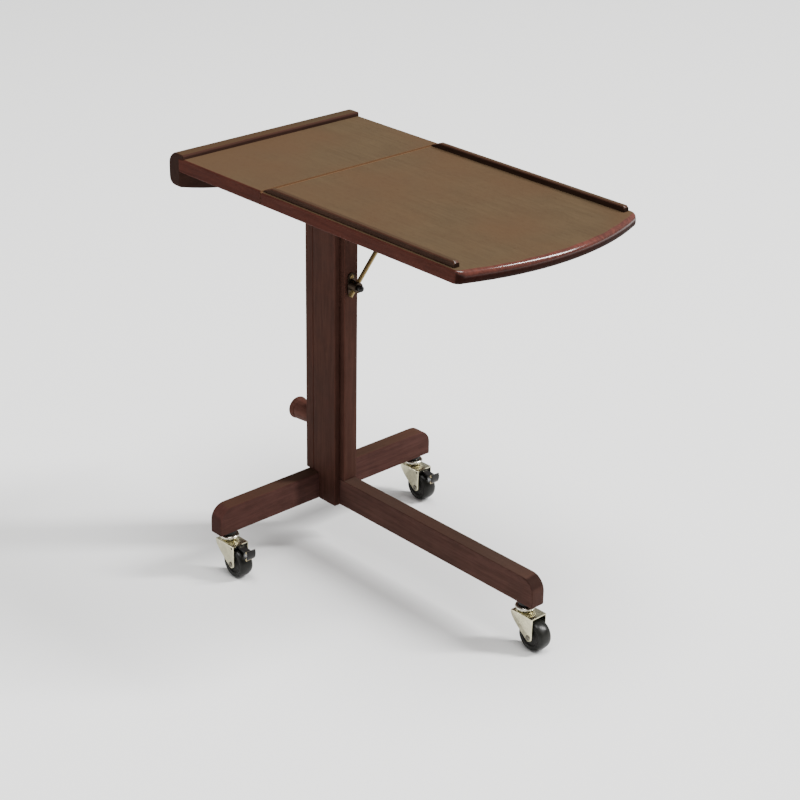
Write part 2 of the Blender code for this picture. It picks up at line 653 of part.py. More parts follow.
def panel_outline():
    near = (0, -1)
    far = (0, 1)
    return [(PANEL_START, -TOP_SIDE, near, SIDE_EDGE_RADIUS), (PANEL_END, -TOP_SIDE, near, SIDE_EDGE_RADIUS),
            (PANEL_END, TOP_SIDE, far, SIDE_EDGE_RADIUS), (PANEL_START, TOP_SIDE, far, SIDE_EDGE_RADIUS)]


def rail_section(y, inset):
    """The end rail cut across at a place along it: a lip let into the panel and a bowed lower edge."""
    bow = (TOP_SIDE ** 2 + RAIL_BELLY ** 2) / (2 * RAIL_BELLY)
    top = TOP_HEIGHT + RAIL_RISE
    sag = RAIL_BELLY - (bow - math.sqrt(bow ** 2 - y ** 2))
    bottom = top - RAIL_END_DEPTH - sag
    lip = RAIL_FRONT + RAIL_LIP
    seat = TOP_HEIGHT - RAIL_REBATE + FIT
    section = [(RAIL_FRONT, bottom + inset), (RAIL_FRONT, seat), (lip - inset, seat)]
    section += arc((lip - RAIL_LIP_RADIUS, top - RAIL_LIP_RADIUS), RAIL_LIP_RADIUS - inset, 0, 90,
                   QUARTER_STEPS)
    section += arc((RAIL_BACK + RAIL_TOP_RADIUS, top - RAIL_TOP_RADIUS), RAIL_TOP_RADIUS - inset, 90, 180,
                   2 * QUARTER_STEPS)
    section += arc((RAIL_BACK + RAIL_FOOT_RADIUS, bottom + RAIL_FOOT_RADIUS), RAIL_FOOT_RADIUS - inset, 180, 270,
                   QUARTER_STEPS)
    return [(x, y, z) for x, z in section]


def rail_mesh():
    """The end rail lofted along its length, the edges of both its ends rounded."""
    flat = TOP_SIDE - RAIL_END_ROUND
    middle = [(flat * (2 * step / ARC_STEPS - 1), 0) for step in range(ARC_STEPS + 1)]
    rounded = []
    for angle in (math.radians(45), math.radians(90)):
        rounded.append((flat + RAIL_END_ROUND * math.sin(angle), RAIL_END_ROUND * (1 - math.cos(angle))))
    mirrored = [(-y, inset) for y, inset in reversed(rounded)]
    return loft([rail_section(y, inset) for y, inset in mirrored + middle + rounded])


def make_post(finishes, carrier):
    """The lifting post, with the small panel, its rail and the tilt tube on its head."""
    wood = finishes["wood"]
    brass = finishes["brass"]
    steel = finishes["steel"]
    outline = rectangle(POST_BACK, POST_BOTTOM, POST_FRONT, POST_TOP)
    post = piece("post", prism(outline, "XZ", -POST_SIDE, POST_SIDE), wood, carrier, PLATE_EDGE)

    insert_depth = INSERT_LENGTH + 2 * FIT
    bore(post, "X", (POST_BACK, 0, KNOB_Z), INSERT_DIAMETER + 2 * FIT, -FIT, insert_depth)
    bore(post, "X", (POST_BACK, 0, KNOB_Z), BOLT_DIAMETER + 2 * FIT, 0, BOLT_REACH + 2 * FIT)
    bore(post, "X", (POST_BACK, 0, GUIDE_Z), BOLT_DIAMETER + 2 * FIT, -FIT, BOLT_REACH + FIT)
    outer = INSERT_DIAMETER / 2
    inner = BOLT_DIAMETER / 2 + FIT
    piece("threaded_insert", turned([(inner, FIT), (outer, FIT), (outer, INSERT_LENGTH + FIT),
                                     (inner, INSERT_LENGTH + FIT)],
                                    "X", (POST_BACK, 0, KNOB_Z), COARSE_FACETS, ring=True), brass, carrier)

    shank = BOLT_DIAMETER / 2
    head = GUIDE_HEAD_DIAMETER / 2
    seat = BACK_REAR - FIT - POST_BACK
    end = seat - GUIDE_HEAD_HEIGHT
    piece("guide_bolt", turned([(0, end), (head / 2, end), (head, seat - GUIDE_HEAD_HEIGHT / 2), (head, seat),
                                (shank, seat), (shank, BOLT_REACH), (0, BOLT_REACH)],
                               "X", (POST_BACK, 0, GUIDE_Z), COARSE_FACETS), steel, carrier)
    rim = WASHER_DIAMETER / 2
    piece("knob_washer", turned([(inner, seat), (rim, seat), (rim, seat - WASHER_THICKNESS),
                                 (inner, seat - WASHER_THICKNESS)],
                                "X", (POST_BACK, 0, KNOB_Z), COARSE_FACETS, ring=True), steel, carrier)

    panel = piece("small_panel", slab(panel_outline(), TOP_UNDERSIDE, TOP_HEIGHT), wood, carrier)
    rebate = rectangle(PANEL_START - FIT, -TOP_WIDTH, RAIL_FRONT + RAIL_LIP + FIT, TOP_WIDTH)
    cut(panel, prism(rebate, "XY", TOP_HEIGHT - RAIL_REBATE, TOP_HEIGHT + FIT))
    rail = piece("end_rail", rail_mesh(), wood, carrier)
    dowel_z = (TOP_UNDERSIDE + TOP_HEIGHT) / 2
    dowel_half = DOWEL_LENGTH / 2
    dowel_radius = DOWEL_DIAMETER / 2
    for side, y in (("near", -DOWEL_SPACING / 2), ("far", DOWEL_SPACING / 2)):
        joint = (RAIL_FRONT + FIT / 2, y, dowel_z)
        for bored in (rail, panel):
            bore(bored, "X", joint, DOWEL_DIAMETER + 2 * FIT, -dowel_half - FIT, dowel_half + FIT)
        piece("rail_dowel_" + side, turned([(0, -dowel_half), (dowel_radius, -dowel_half),
                                            (dowel_radius, dowel_half), (0, dowel_half)],
                                           "X", joint, COARSE_FACETS), finishes["beech"], carrier)
        make_cleat(side, wood, carrier)

    make_tube(post, finishes, carrier)
    return post


def make_cleat(side, wood, carrier):
    """A tapered bearer beside the post's head, under the small panel."""
    low = POST_TOP - CLEAT_HEIGHT
    start = POST_FRONT - CLEAT_LENGTH
    outline = [(start, POST_TOP - CLEAT_HEIGHT / 3), (start + CLEAT_TAPER, low), (POST_FRONT, low),
               (POST_FRONT, POST_TOP), (start, POST_TOP)]
    inner = POST_SIDE + FIT
    outer = inner + CLEAT_WIDTH
    span = (-outer, -inner) if side == "near" else (inner, outer)
    piece("cleat_" + side, prism(outline, "XZ", *span), wood, carrier, PLATE_EDGE)


def make_tube(post, finishes, carrier):
    """The tilt axis: a steel tube pinned in the post's head and capped at its free end."""
    steel = finishes["steel"]
    axis = (POST_FRONT, 0, TILT_Z)
    bore(post, "X", axis, TUBE_DIAMETER + 2 * FIT, -TUBE_SEAT - FIT, FIT, FINE_FACETS)
    outer = TUBE_DIAMETER / 2
    inner = outer - TUBE_WALL
    tube = piece("pivot_tube", turned([(inner, -TUBE_SEAT), (outer, -TUBE_SEAT), (outer, TUBE_REACH),
                                       (inner, TUBE_REACH)], "X", axis, FINE_FACETS, ring=True),
                 steel, carrier)

    pin_x = POST_FRONT - LOCK_PIN_SETBACK
    pin = LOCK_PIN_DIAMETER / 2
    for drilled in (post, tube):
        bore(drilled, "Y", (pin_x, 0, TILT_Z), LOCK_PIN_DIAMETER + 2 * FIT, -STOCK_WIDTH, STOCK_WIDTH)
    piece("tube_lock_pin", turned([(0, -POST_SIDE), (pin, -POST_SIDE), (pin, POST_SIDE), (0, POST_SIDE)],
                                  "Y", (pin_x, 0, TILT_Z), COARSE_FACETS), steel, carrier)

    plug = inner - FIT
    flange = CAP_FLANGE_DIAMETER / 2
    face = FIT + CAP_FLANGE_HEIGHT
    piece("tube_end_cap", turned([(0, -CAP_PLUG_LENGTH), (plug, -CAP_PLUG_LENGTH), (plug, FIT), (flange, FIT),
                                  (flange, face / 2), (flange - face / 2, face), (0, face)],
                                 "X", (TUBE_END, 0, TILT_Z), COARSE_FACETS), finishes["black"], carrier)


def make_height_knob(finishes, carrier):
    """A turned wooden knob on the bolt that draws the post against the back board."""
    start = BACK_REAR - WASHER_THICKNESS - 2 * FIT
    rim = KNOB_DIAMETER / 2
    neck = KNOB_NECK_DIAMETER / 2
    shoulder = KNOB_SHOULDER_DIAMETER / 2
    groove = KNOB_LENGTH - KNOB_CAP_LENGTH
    widest = KNOB_LENGTH - KNOB_DOME_HEIGHT
    bolt_hole = BOLT_DIAMETER / 2 + FIT
    profile = [(0, -KNOB_BORE_DEPTH), (bolt_hole, -KNOB_BORE_DEPTH), (bolt_hole, 0), (neck, 0)]
    profile += [(shoulder, KNOB_GROOVE_DEPTH - groove), (shoulder - KNOB_GROOVE_DEPTH, -groove)]
    profile.append((shoulder, -groove - KNOB_GROOVE_DEPTH))
    for step in range(2 * QUARTER_STEPS):
        angle = math.radians(90 * step / (2 * QUARTER_STEPS))
        profile.append((rim * math.cos(angle), -widest - KNOB_DOME_HEIGHT * math.sin(angle)))
    profile.append((0, -KNOB_LENGTH))
    piece("height_knob", turned(profile, "X", (start, 0, KNOB_Z), FINE_FACETS), finishes["wood"], carrier)
    shank = BOLT_DIAMETER / 2
    inner_end = POST_BACK + BOLT_REACH - start
    outer_end = -KNOB_BORE_DEPTH + FIT
    piece("height_bolt", turned([(0, outer_end), (shank, outer_end), (shank, inner_end), (0, inner_end)],
                                "X", (start, 0, KNOB_Z), COARSE_FACETS), finishes["steel"], carrier)


def ledge_section(x, middle, height):
    """A ledge strip cut across: its foot in a groove of the leaf, both upper corners rounded."""
    left = middle - LEDGE_WIDTH / 2
    right = middle + LEDGE_WIDTH / 2
    low = LEAF_TOP - LEDGE_GROOVE_DEPTH + FIT
    high = LEAF_TOP + height
    radius = min(LEDGE_TOP_RADIUS, height / 2, LEDGE_WIDTH / 3)
    section = [(left, low), (right, low)]
    section += arc((right - radius, high - radius), radius, 0, 90, QUARTER_STEPS)
    section += arc((left + radius, high - radius), radius, 90, 180, QUARTER_STEPS)
    return [(x, y, z) for y, z in section]


def make_leaf(finishes, carrier):
    """The tilting leaf with its ledges, and the bearing blocks and stay bracket under it."""
    wood = finishes["wood"]
    panel = piece("leaf_panel", slab(leaf_outline(), TOP_UNDERSIDE, LEAF_TOP), wood, carrier)

    start = LEAF_START + FIT
    end = start + LEDGE_LENGTH
    groove_half = LEDGE_WIDTH / 2 + FIT
    stations = [(start, LEAF_STEP), (start + LEDGE_RAMP_LENGTH, LEDGE_HEIGHT),
                (end - LEDGE_END_BEVEL, LEDGE_HEIGHT), (end, LEDGE_HEIGHT - LEDGE_END_BEVEL)]
    ledge_y = TOP_SIDE - LEDGE_INSET - LEDGE_WIDTH / 2
    for side, middle in (("near", -ledge_y), ("far", ledge_y)):
        strip = loft([ledge_section(x, middle, height) for x, height in stations])
        piece("ledge_" + side, strip, wood, carrier)
        groove = rectangle(LEAF_START - FIT, middle - groove_half, end + FIT, middle + groove_half)
        cut(panel, prism(groove, "XY", LEAF_TOP - LEDGE_GROOVE_DEPTH, LEAF_TOP + FIT))

    wall = TUBE_DIAMETER / 2 + FIT + BLOCK_WALL
    block = [(BLOCK_WIDTH / 2, POST_TOP), (-BLOCK_WIDTH / 2, POST_TOP)]
    block += arc((0, TILT_Z), wall, 180 + BLOCK_FLARE_DEG, 360 - BLOCK_FLARE_DEG, 2 * QUARTER_STEPS)
    inner_start = POST_FRONT + INNER_BLOCK_SETBACK
    outer_start = TUBE_END + FIT - BLOCK_END_PLAY - BLOCK_LENGTH
    for place, x in (("inner", inner_start), ("outer", outer_start)):
        made = piece("bearing_block_" + place, prism(block, "YZ", x, x + BLOCK_LENGTH), wood, carrier, PLATE_EDGE)
        bore(made, "X", (x, 0, TILT_Z), TUBE_DIAMETER + 2 * FIT, -FIT, BLOCK_LENGTH + FIT, FINE_FACETS)

    make_stay_bracket(finishes, carrier)


def make_stay_bracket(finishes, carrier):
    """An angle under the leaf whose lug carries the stay's upper pivot pin."""
    lug = ROD_X + ROD_DIAMETER / 2 + FIT
    ear = BRACKET_WIDTH / 2
    hole = STAY_PIN_DIAMETER + 2 * FIT
    outline = [(STAY_OFFSET + ear, POST_TOP), (STAY_OFFSET - ear, POST_TOP)]
    outline += arc((STAY_OFFSET, STAY_Z), ROD_EYE_DIAMETER / 2, 180, 360, 2 * QUARTER_STEPS)
    bracket = piece("stay_bracket", prism(outline, "YZ", lug, lug + BRACKET_SHEET), finishes["brass"], carrier)
    flange = rectangle(lug + BRACKET_SHEET / 2, STAY_OFFSET - ear, lug + BRACKET_FLANGE, STAY_OFFSET + ear)
    weld(bracket, prism(flange, "XY", POST_TOP - BRACKET_SHEET, POST_TOP))
    pivot = (lug, STAY_OFFSET, STAY_Z)
    bore(bracket, "X", pivot, hole, -BRACKET_SHEET, 2 * BRACKET_SHEET)

    pin = STAY_PIN_DIAMETER / 2
    head = STAY_PIN_HEAD_DIAMETER / 2
    near = -ROD_DIAMETER - 2 * FIT
    far = BRACKET_SHEET + FIT
    piece("stay_pin", turned([(0, near - STAY_PIN_HEAD_HEIGHT), (head / 2, near - STAY_PIN_HEAD_HEIGHT),
                              (head, near), (pin, near), (pin, far), (head, far),
                              (head / 2, far + STAY_PIN_HEAD_HEIGHT), (0, far + STAY_PIN_HEAD_HEIGHT)],
                             "X", pivot, COARSE_FACETS), finishes["brass"], carrier)


def make_stay_rod(finishes, carrier):
    """A rod with an eye on the stay pin, running down through the clamp on the post."""
    upper = Vector((ROD_X, STAY_OFFSET, STAY_Z))
    clamp = Vector((ROD_X, 0, CLAMP_Z))
    tail = clamp + (clamp - upper).normalized() * ROD_TAIL
    eye = ROD_EYE_DIAMETER / 2
    half = ROD_DIAMETER / 2
    rod = piece("stay_rod", turned([(0, -half), (eye, -half), (eye, half), (0, half)], "X", upper, FINE_FACETS),
                finishes["brass"], carrier)
    shank = upper + (clamp - upper).normalized() * eye / 2
    weld(rod, rod_between(shank, tail, ROD_DIAMETER - FIT))
    bore(rod, "X", upper, STAY_PIN_DIAMETER + 2 * FIT, -ROD_DIAMETER, ROD_DIAMETER)


def make_clamp(post, finishes, post_body, swivel_body, knob_body):
    """A plate on the post, the swivelling block that the rod slides through, and its knob."""
    bronze = finishes["bronze"]
    half_length = CLAMP_PLATE_LENGTH / 2
    outline = stadium(0, CLAMP_Z - half_length, CLAMP_Z + half_length, CLAMP_PLATE_WIDTH / 2)
    front = POST_FRONT + FIT
    plate = piece("clamp_plate", prism(outline, "YZ", front, front + CLAMP_PLATE_SHEET), bronze, post_body)
    face = front + CLAMP_PLATE_SHEET
    swivel_hole = SWIVEL_DIAMETER + 2 * FIT
    bore(plate, "X", (front, 0, CLAMP_Z), swivel_hole, -CLAMP_PLATE_SHEET, 2 * CLAMP_PLATE_SHEET)
    bore(post, "X", (POST_FRONT, 0, CLAMP_Z), swivel_hole, -SWIVEL_LENGTH - FIT, FIT)

    shank = CLAMP_SCREW_DIAMETER / 2
    head = CLAMP_SCREW_HEAD_DIAMETER / 2
    seat = CLAMP_PLATE_SHEET + FIT
    for place, z in (("upper", CLAMP_Z + CLAMP_SCREW_SPACING / 2), ("lower", CLAMP_Z - CLAMP_SCREW_SPACING / 2)):
        hole = CLAMP_SCREW_DIAMETER + 2 * FIT
        bore(plate, "X", (front, 0, z), hole, -CLAMP_PLATE_SHEET, 2 * CLAMP_PLATE_SHEET)
        bore(post, "X", (front, 0, z), hole, -CLAMP_SCREW_LENGTH - FIT, FIT)
        piece("clamp_screw_" + place,
              turned([(0, -CLAMP_SCREW_LENGTH), (shank, shank - CLAMP_SCREW_LENGTH), (shank, seat), (head, seat),
                      (head / 2, seat + CLAMP_SCREW_HEAD_HEIGHT), (0, seat + CLAMP_SCREW_HEAD_HEIGHT)],
                     "X", (front, 0, z), COARSE_FACETS), finishes["brass"], post_body)

    hole_radius = ROD_DIAMETER / 2 + ROD_PLAY
    back = face + FIT - ROD_X
    ahead = hole_radius + CLAMP_BLOCK_FACE
    block_radius = CLAMP_BLOCK_DIAMETER / 2
    pivot = SWIVEL_DIAMETER / 2
    axis = (ROD_X, 0, CLAMP_Z)
    tail = POST_FRONT - SWIVEL_LENGTH - ROD_X
    block = piece("clamp_block", turned([(0, tail), (pivot, tail), (pivot, back), (block_radius, back),
                                         (block_radius, ahead), (0, ahead)], "X", axis, FINE_FACETS),
                  bronze, swivel_body)
    along = Vector((0, STAY_OFFSET, STAY_Z - CLAMP_Z)).normalized() * CLAMP_BLOCK_DIAMETER
    cut(block, rod_between(Vector(axis) - along, Vector(axis) + along, 2 * hole_radius))
    screw = TILT_SCREW_DIAMETER / 2
    bore(block, "X", axis, TILT_SCREW_DIAMETER + 2 * FIT, 0, 2 * ahead)

    ball = TILT_KNOB_DIAMETER / 2
    neck = TILT_KNOB_NECK_DIAMETER / 2
    base = ahead + FIT
    middle = base + math.sqrt(ball ** 2 - neck ** 2)
    neck_deg = 180 - math.degrees(math.asin(neck / ball))
    tip = ROD_DIAMETER / 2 + FIT
    profile = [(0, tip), (screw, tip), (screw, base)]
    profile += [(r, d) for d, r in arc((middle, 0), ball, neck_deg, 0, 2 * QUARTER_STEPS)]
    piece("tilt_knob", turned(profile, "X", axis, COARSE_FACETS), finishes["black"], knob_body)


def main():
    for old in list(bpy.data.objects):
        bpy.data.objects.remove(old, do_unlink=True)

    finishes = {
        "wood": material("walnut", linear(88, 62, 48), 0.38),
        "beech": material("beech", linear(196, 158, 112), 0.6),
        "brass": material("antique brass", linear(134, 112, 74), 0.35, 1.0),
        "bronze": material("dark bronze", linear(60, 49, 39), 0.4, 1.0),
        "zinc": material("satin zinc", linear(190, 180, 158), 0.35, 1.0),
        "steel": material("steel", linear(170, 170, 168), 0.35, 1.0),
        "black": material("black plastic", linear(32, 31, 31), 0.45),
        "grey": material("dark hub", linear(52, 51, 49), 0.5),
        "rubber": material("black rubber", linear(36, 36, 34), 0.6),
    }

    base = body("base_frame", (0, 0, 0))
    cross, front = make_base(finishes["wood"], finishes["steel"], base)
    cross_caster_y = CROSS_END - CROSS_CASTER_INSET
    make_caster("front", FOOT_END - FRONT_CASTER_INSET, 0, front, False, finishes, base)
    make_caster("near", CROSS_X, -cross_caster_y, cross, True, finishes, base)
    make_caster("far", CROSS_X, cross_caster_y, cross, True, finishes, base)

    lift = body("post_frame", (POST_BACK, 0, POST_BOTTOM), base)
    post = make_post(finishes, lift)
    make_height_knob(finishes, body("height_knob_frame", (BACK_REAR, 0, KNOB_Z), lift))

    leaf = body("leaf_frame", (LEAF_START, 0, TILT_Z), lift)
    make_leaf(finishes, leaf)
    make_stay_rod(finishes, body("stay_frame", (ROD_X, STAY_OFFSET, STAY_Z), leaf))

    swivel = body("clamp_frame", (POST_FRONT, 0, CLAMP_Z), lift)
    turning = body("tilt_knob_frame", (ROD_X, 0, CLAMP_Z), swivel)
    make_clamp(post, finishes, lift, swivel, turning)


main()
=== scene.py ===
"""The looks of the wooden laptop cart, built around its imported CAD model.

Metres, in the frame of the CAD: +Z up, +X from the end rail to the curved end of the leaf, +Y to the
far side. Boards, rod, clamp, tube, bracket, pedals and hidden pins are the CAD's own nodes, shaded smooth.
Casters, knobs and fasteners are drawn again, with rounder edges and the detail that the solids leave out.
"""
import math

import bmesh
import bpy
from mathutils import Euler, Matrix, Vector


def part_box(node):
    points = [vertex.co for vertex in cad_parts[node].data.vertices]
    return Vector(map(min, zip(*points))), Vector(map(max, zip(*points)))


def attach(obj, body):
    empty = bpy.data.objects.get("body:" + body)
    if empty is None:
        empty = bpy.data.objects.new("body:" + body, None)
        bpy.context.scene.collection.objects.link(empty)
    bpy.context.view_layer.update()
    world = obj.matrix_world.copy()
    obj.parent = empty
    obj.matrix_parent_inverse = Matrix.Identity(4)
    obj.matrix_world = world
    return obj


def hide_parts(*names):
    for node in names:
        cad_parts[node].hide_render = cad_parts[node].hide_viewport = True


# Camera, fitted to the edges of the cart in the photograph
CAMERA_PLACE = (2.27208, -2.10981, 1.80929)
CAMERA_TURN_DEG = (64.748, -0.809, 47.588)
CAMERA_LENS_MM = 87.45
CAMERA_SENSOR_MM = 36.0
CAMERA_SHIFT_X = 0.00345

# Light: a tall soft box on the far right, as the highlight on the leaf's nose shows, a broad one overhead,
# a low fill on the near left, and a dim white room. All lights look at the middle of the cart.
LIGHTS = {
    "key": {"azimuth_deg": 50, "elevation_deg": 43, "distance": 20.0,
            "width": 1.7, "height": 11.0, "watts": 6600},
    "overhead": {"azimuth_deg": -30, "elevation_deg": 84, "distance": 7.0,
                 "width": 4.0, "height": 4.0, "watts": 630},
    "fill": {"azimuth_deg": -112, "elevation_deg": 1, "distance": 5.0,
             "width": 1.2, "height": 1.0, "watts": 55},
}
AIM_HEIGHT = 0.45
ROOM_COLOUR = (1.0, 1.0, 1.0, 1.0)
ROOM_STRENGTH = 0.4
FLOOR_COLOUR = (0.92, 0.92, 0.91, 1.0)
FLOOR_SIZE = 40.0

# Smooth shading of the CAD's nodes and of the new pieces
SHARP_EDGE_DEG = 38
ROUNDED_EDGE_DEG = 50
WELD_DISTANCE = 0.00001
MERGE_DISTANCE = 0.000001
ROUND_FACETS = 64
AXES = {"X": Vector((1, 0, 0)), "Y": Vector((0, 1, 0)), "Z": Vector((0, 0, 1))}
RADIAL = {"X": Vector((0, 0, 1)), "Y": Vector((0, 0, 1)), "Z": Vector((1, 0, 0))}

# Patterns: how much a noise is squeezed along each axis, and how deep the relief of a surface is
EVEN = (1, 1, 1)
ALONG = {"X": (1, 14, 14), "Y": (14, 1, 14), "Z": (14, 14, 1)}
WOOD_RELIEF = 0.00006
METAL_RELIEF = 0.00003

# Wood: its reddish sheen, the tint of pale edges (rubbed wear with a painted highlight) and of darkened
# edges, and the plies that a panel's seam shows
WOOD_SHEEN = (1.0, 0.62, 0.5, 1.0)
LACQUER_ROUGHNESS = 0.15
RUBBED_AND_HIGHLIT = (2.6, 1.7, 1.5)
DARKENED_EDGE = (0.25, 0.25, 0.25)
PLY_THICKNESS = 0.0038
SEAM_DEPTH = 0.0012
SEAM_FADE = 0.0002

# Brake pedals: the toe's length, and the bare stretch of the arm before it
TOE_LENGTH = 0.0042
TOE_FADE = 0.0002
BARE_LENGTH = 0.0063
BARE_FADE = 0.0005

# Casters. The nose is the edge of the fork's cheek on the stem's side, and the heel is the other one.
CASTERS = ("front", "near", "far")
BRAKED_CASTERS = ("near", "far")
FORK_SHEET = 0.0020
FORK_EDGE = 0.0018
FORK_NOSE_REACH = 0.0025
FORK_HEEL_SETBACK = 0.0003
FORK_EYE_MARGIN = 0.0001
FORK_SHOULDER = 0.004
CHEEK_BULGE = 0.016
CHEEK_WAIST = 0.018
CHEEK_TOUCH_DEG = 229
STEM_RADIUS = 0.0040
STEM_HOLE = 0.0043
AXLE_RADIUS = 0.0030
AXLE_HOLE = 0.0033
PEDAL_HUB = 0.0026
PEDAL_GAP = 0.0003
PEDAL_PIVOT_HOLE = 0.0020
TYRE_DEPTH = 0.0085
TYRE_WALL = 0.0038
# The power of the crown's curve: 1 makes it an ellipse, and less makes it squarer
TYRE_ROUNDNESS = 0.87
RIM_LINE_DEPTH = 0.0005
HUB_BOSS = 0.0053
HUB_DISH = 0.0030
HUB_RING = 0.0006
RACE_GAP = 0.0003
RACE_HEIGHT = 0.010
KING_PIN_HEAD = 0.0070
COLLAR_HEIGHT = 0.0065
SLEEVE_RADIUS = 0.0060
RIVET_HEAD = 0.0015

# Knobs
KNOB_HOLE = 0.0043
KNOB_HOLE_DEPTH = 0.030
KNOB_FOOT = 0.0165
KNOB_NECK = 0.0200
KNOB_GROOVE = 0.0175
KNOB_HEAD_LENGTH = 0.018
KNOB_DOME = 0.009
BALL_SCREW = 0.0025
BALL_NECK = 0.0055
BALL_START_DEG = 137

# Fasteners
SCREW_RADIUS = 0.0020
SCREW_POINT = 0.0030
SCREW_HEAD = 0.0018
SCREW_HEAD_RIM = 0.0003
SCREW_SLOT_DEPTH = 0.0010
SCREW_SLOT_HALF = 0.0005
BOLT_HEAD = 0.0040
GUIDE_BOLT_RADIUS = 0.0040
GUIDE_KEY_WIDTH = 0.005
GUIDE_KEY_DEPTH = 0.0022
FOOT_BOLT_RADIUS = 0.0030
FOOT_KEY_WIDTH = 0.006
FOOT_KEY_DEPTH = 0.0025
WASHER_HOLE = 0.0043
CAP_PLUG = 0.0072
CAP_FLANGE = 0.0030

# Cutters: how far they stand past what they cut, and half the length of those that pass through a fork
CUTTER_MARGIN = 0.01
CUTTER_REACH = 0.03

# Which CAD nodes stay in view, by their finish, and the rounding that small metal nodes get at their edges
NODE_FINISHES = {
    "panel": ("leaf_panel", "small_panel"),
    "rail": ("end_rail",),
    "ledge": ("ledge_near", "ledge_far"),
    "foot_x": ("front_foot",),
    "foot_y": ("cross_foot",),
    "upright": ("post", "back_board", "side_plate_near", "side_plate_far"),
    "under": ("cleat_near", "cleat_far", "bearing_block_inner", "bearing_block_outer"),
    "beech": ("rail_dowel_near", "rail_dowel_far"),
    "steel": ("pivot_tube", "tube_lock_pin", "barrel_nut", "height_bolt"),
    "brass": ("threaded_insert", "stay_rod", "stay_bracket", "stay_pin"),
    "bronze": ("clamp_plate", "clamp_block"),
}
PEDAL_ROUNDING = 0.0004
EDGE_ROUNDING = {
    "barrel_nut": 0.0003,
    "stay_bracket": 0.0004,
    "stay_pin": 0.0002,
    "clamp_plate": 0.0005,
    "clamp_block": 0.0006,
}


def linear(red, green, blue):
    """Scene-linear colour of an sRGB triple from 0 to 255."""
    channels = [value / 255 for value in (red, green, blue)]
    return [c / 12.92 if c <= 0.04045 else ((c + 0.055) / 1.055) ** 2.4 for c in channels] + [1.0]


def tint(colour, factors):
    """A colour with each channel multiplied by its own factor."""
    return [channel * factor for channel, factor in zip(colour, factors)] + [1.0]


def shade(colour, factor):
    """The same colour, lighter or darker."""
    return tint(colour, (factor, factor, factor))


def add_node(tree, kind, inputs, **settings):
    """A shader node with its settings, its constant inputs and its links."""
    made = tree.nodes.new("ShaderNode" + kind)
    for key, value in settings.items():
        setattr(made, key, value)
    for socket, value in inputs.items():
        if isinstance(value, bpy.types.NodeSocket):
            tree.links.new(value, made.inputs[socket])
        else:
            made.inputs[socket].default_value = value
    return made


def calculate(tree, operation, first, second=0.0):
    """One step of arithmetic."""
    return add_node(tree, "Math", {0: first, 1: second}, operation=operation).outputs[0]


def times(tree, first, second):
    """The product of two values."""
    return calculate(tree, "MULTIPLY", first, second)


def remap(tree, value, low, high, to_low=0.0, to_high=1.0):
    """A smooth step from one range of values to another."""
    inputs = {"Value": value, "From Min": low, "From Max": high, "To Min": to_low, "To Max": to_high}
    return add_node(tree, "MapRange", inputs, interpolation_type="SMOOTHSTEP").outputs[0]


def mix(tree, factor, first, second):
    """A blend of two colours. The sockets 0, 6, 7 and 2 are the mix node's colour sockets."""
    return add_node(tree, "Mix", {0: factor, 6: first, 7: second}, data_type="RGBA").outputs[2]


def noise(tree, place, stretch, scale, detail, roughness, distortion=0.0):
    """Fractal noise in the cart's own coordinates, stretched by a factor along each axis."""
    mapped = add_node(tree, "Mapping", {"Vector": place, "Scale": stretch})
    inputs = {"Vector": mapped.outputs[0], "Scale": scale, "Detail": detail, "Roughness": roughness,
              "Distortion": distortion}
    return add_node(tree, "TexNoise", inputs).outputs[0]


def blank_material(name, **constants):
    """A material whose shader has these constant inputs."""
    made = bpy.data.materials.new(name)
    made.use_nodes = True
    tree = made.node_tree
    shader = tree.nodes["Principled BSDF"]
    for socket, value in constants.items():
        shader.inputs[socket.replace("_", " ")].default_value = value
    return made, tree, shader


def set_bump(tree, shader, height, distance):
    """Give a shader the relief of a pattern."""
    bump = add_node(tree, "Bump", {"Height": height, "Strength": 1.0, "Distance": distance})
    tree.links.new(bump.outputs[0], shader.inputs["Normal"])


def painted_nose_shade(tree, facing, tone, side):
    """A nose in painted shade where it looks down, and in a painted lit red where it looks up."""
    is_high = remap(tree, facing["Z"], -0.1, 0.7)
    red = tint(side, (1.5, 1.25, 1.15))
    painted_shade_below = mix(tree, tone, shade(side, 0.18), shade(side, 0.36))
    painted_light_above = mix(tree, tone, shade(red, 0.6), shade(red, 1.4))
    return mix(tree, is_high, painted_shade_below, painted_light_above)


def show_plies(tree, here, sizes, colour, seam):
    """Put pale and dark plies over a panel's colour, at its seam's place along X but not on its sides."""
    spot = add_node(tree, "SeparateXYZ", {0: here}).outputs
    from_seam = calculate(tree, "ABSOLUTE", calculate(tree, "SUBTRACT", spot["X"], seam))
    at_seam = remap(tree, from_seam, SEAM_DEPTH + SEAM_FADE, SEAM_DEPTH - SEAM_FADE)
    is_core = times(tree, at_seam, remap(tree, sizes["Y"], 0.9, 0.5))
    layer = calculate(tree, "PINGPONG", spot["Z"], PLY_THICKNESS)
    is_dark = times(tree, sizes["X"], remap(tree, layer, PLY_THICKNESS * 0.4, PLY_THICKNESS * 0.6))
    core = mix(tree, is_dark, linear(104, 77, 55), linear(64, 42, 30))
    return mix(tree, is_core, colour, core)


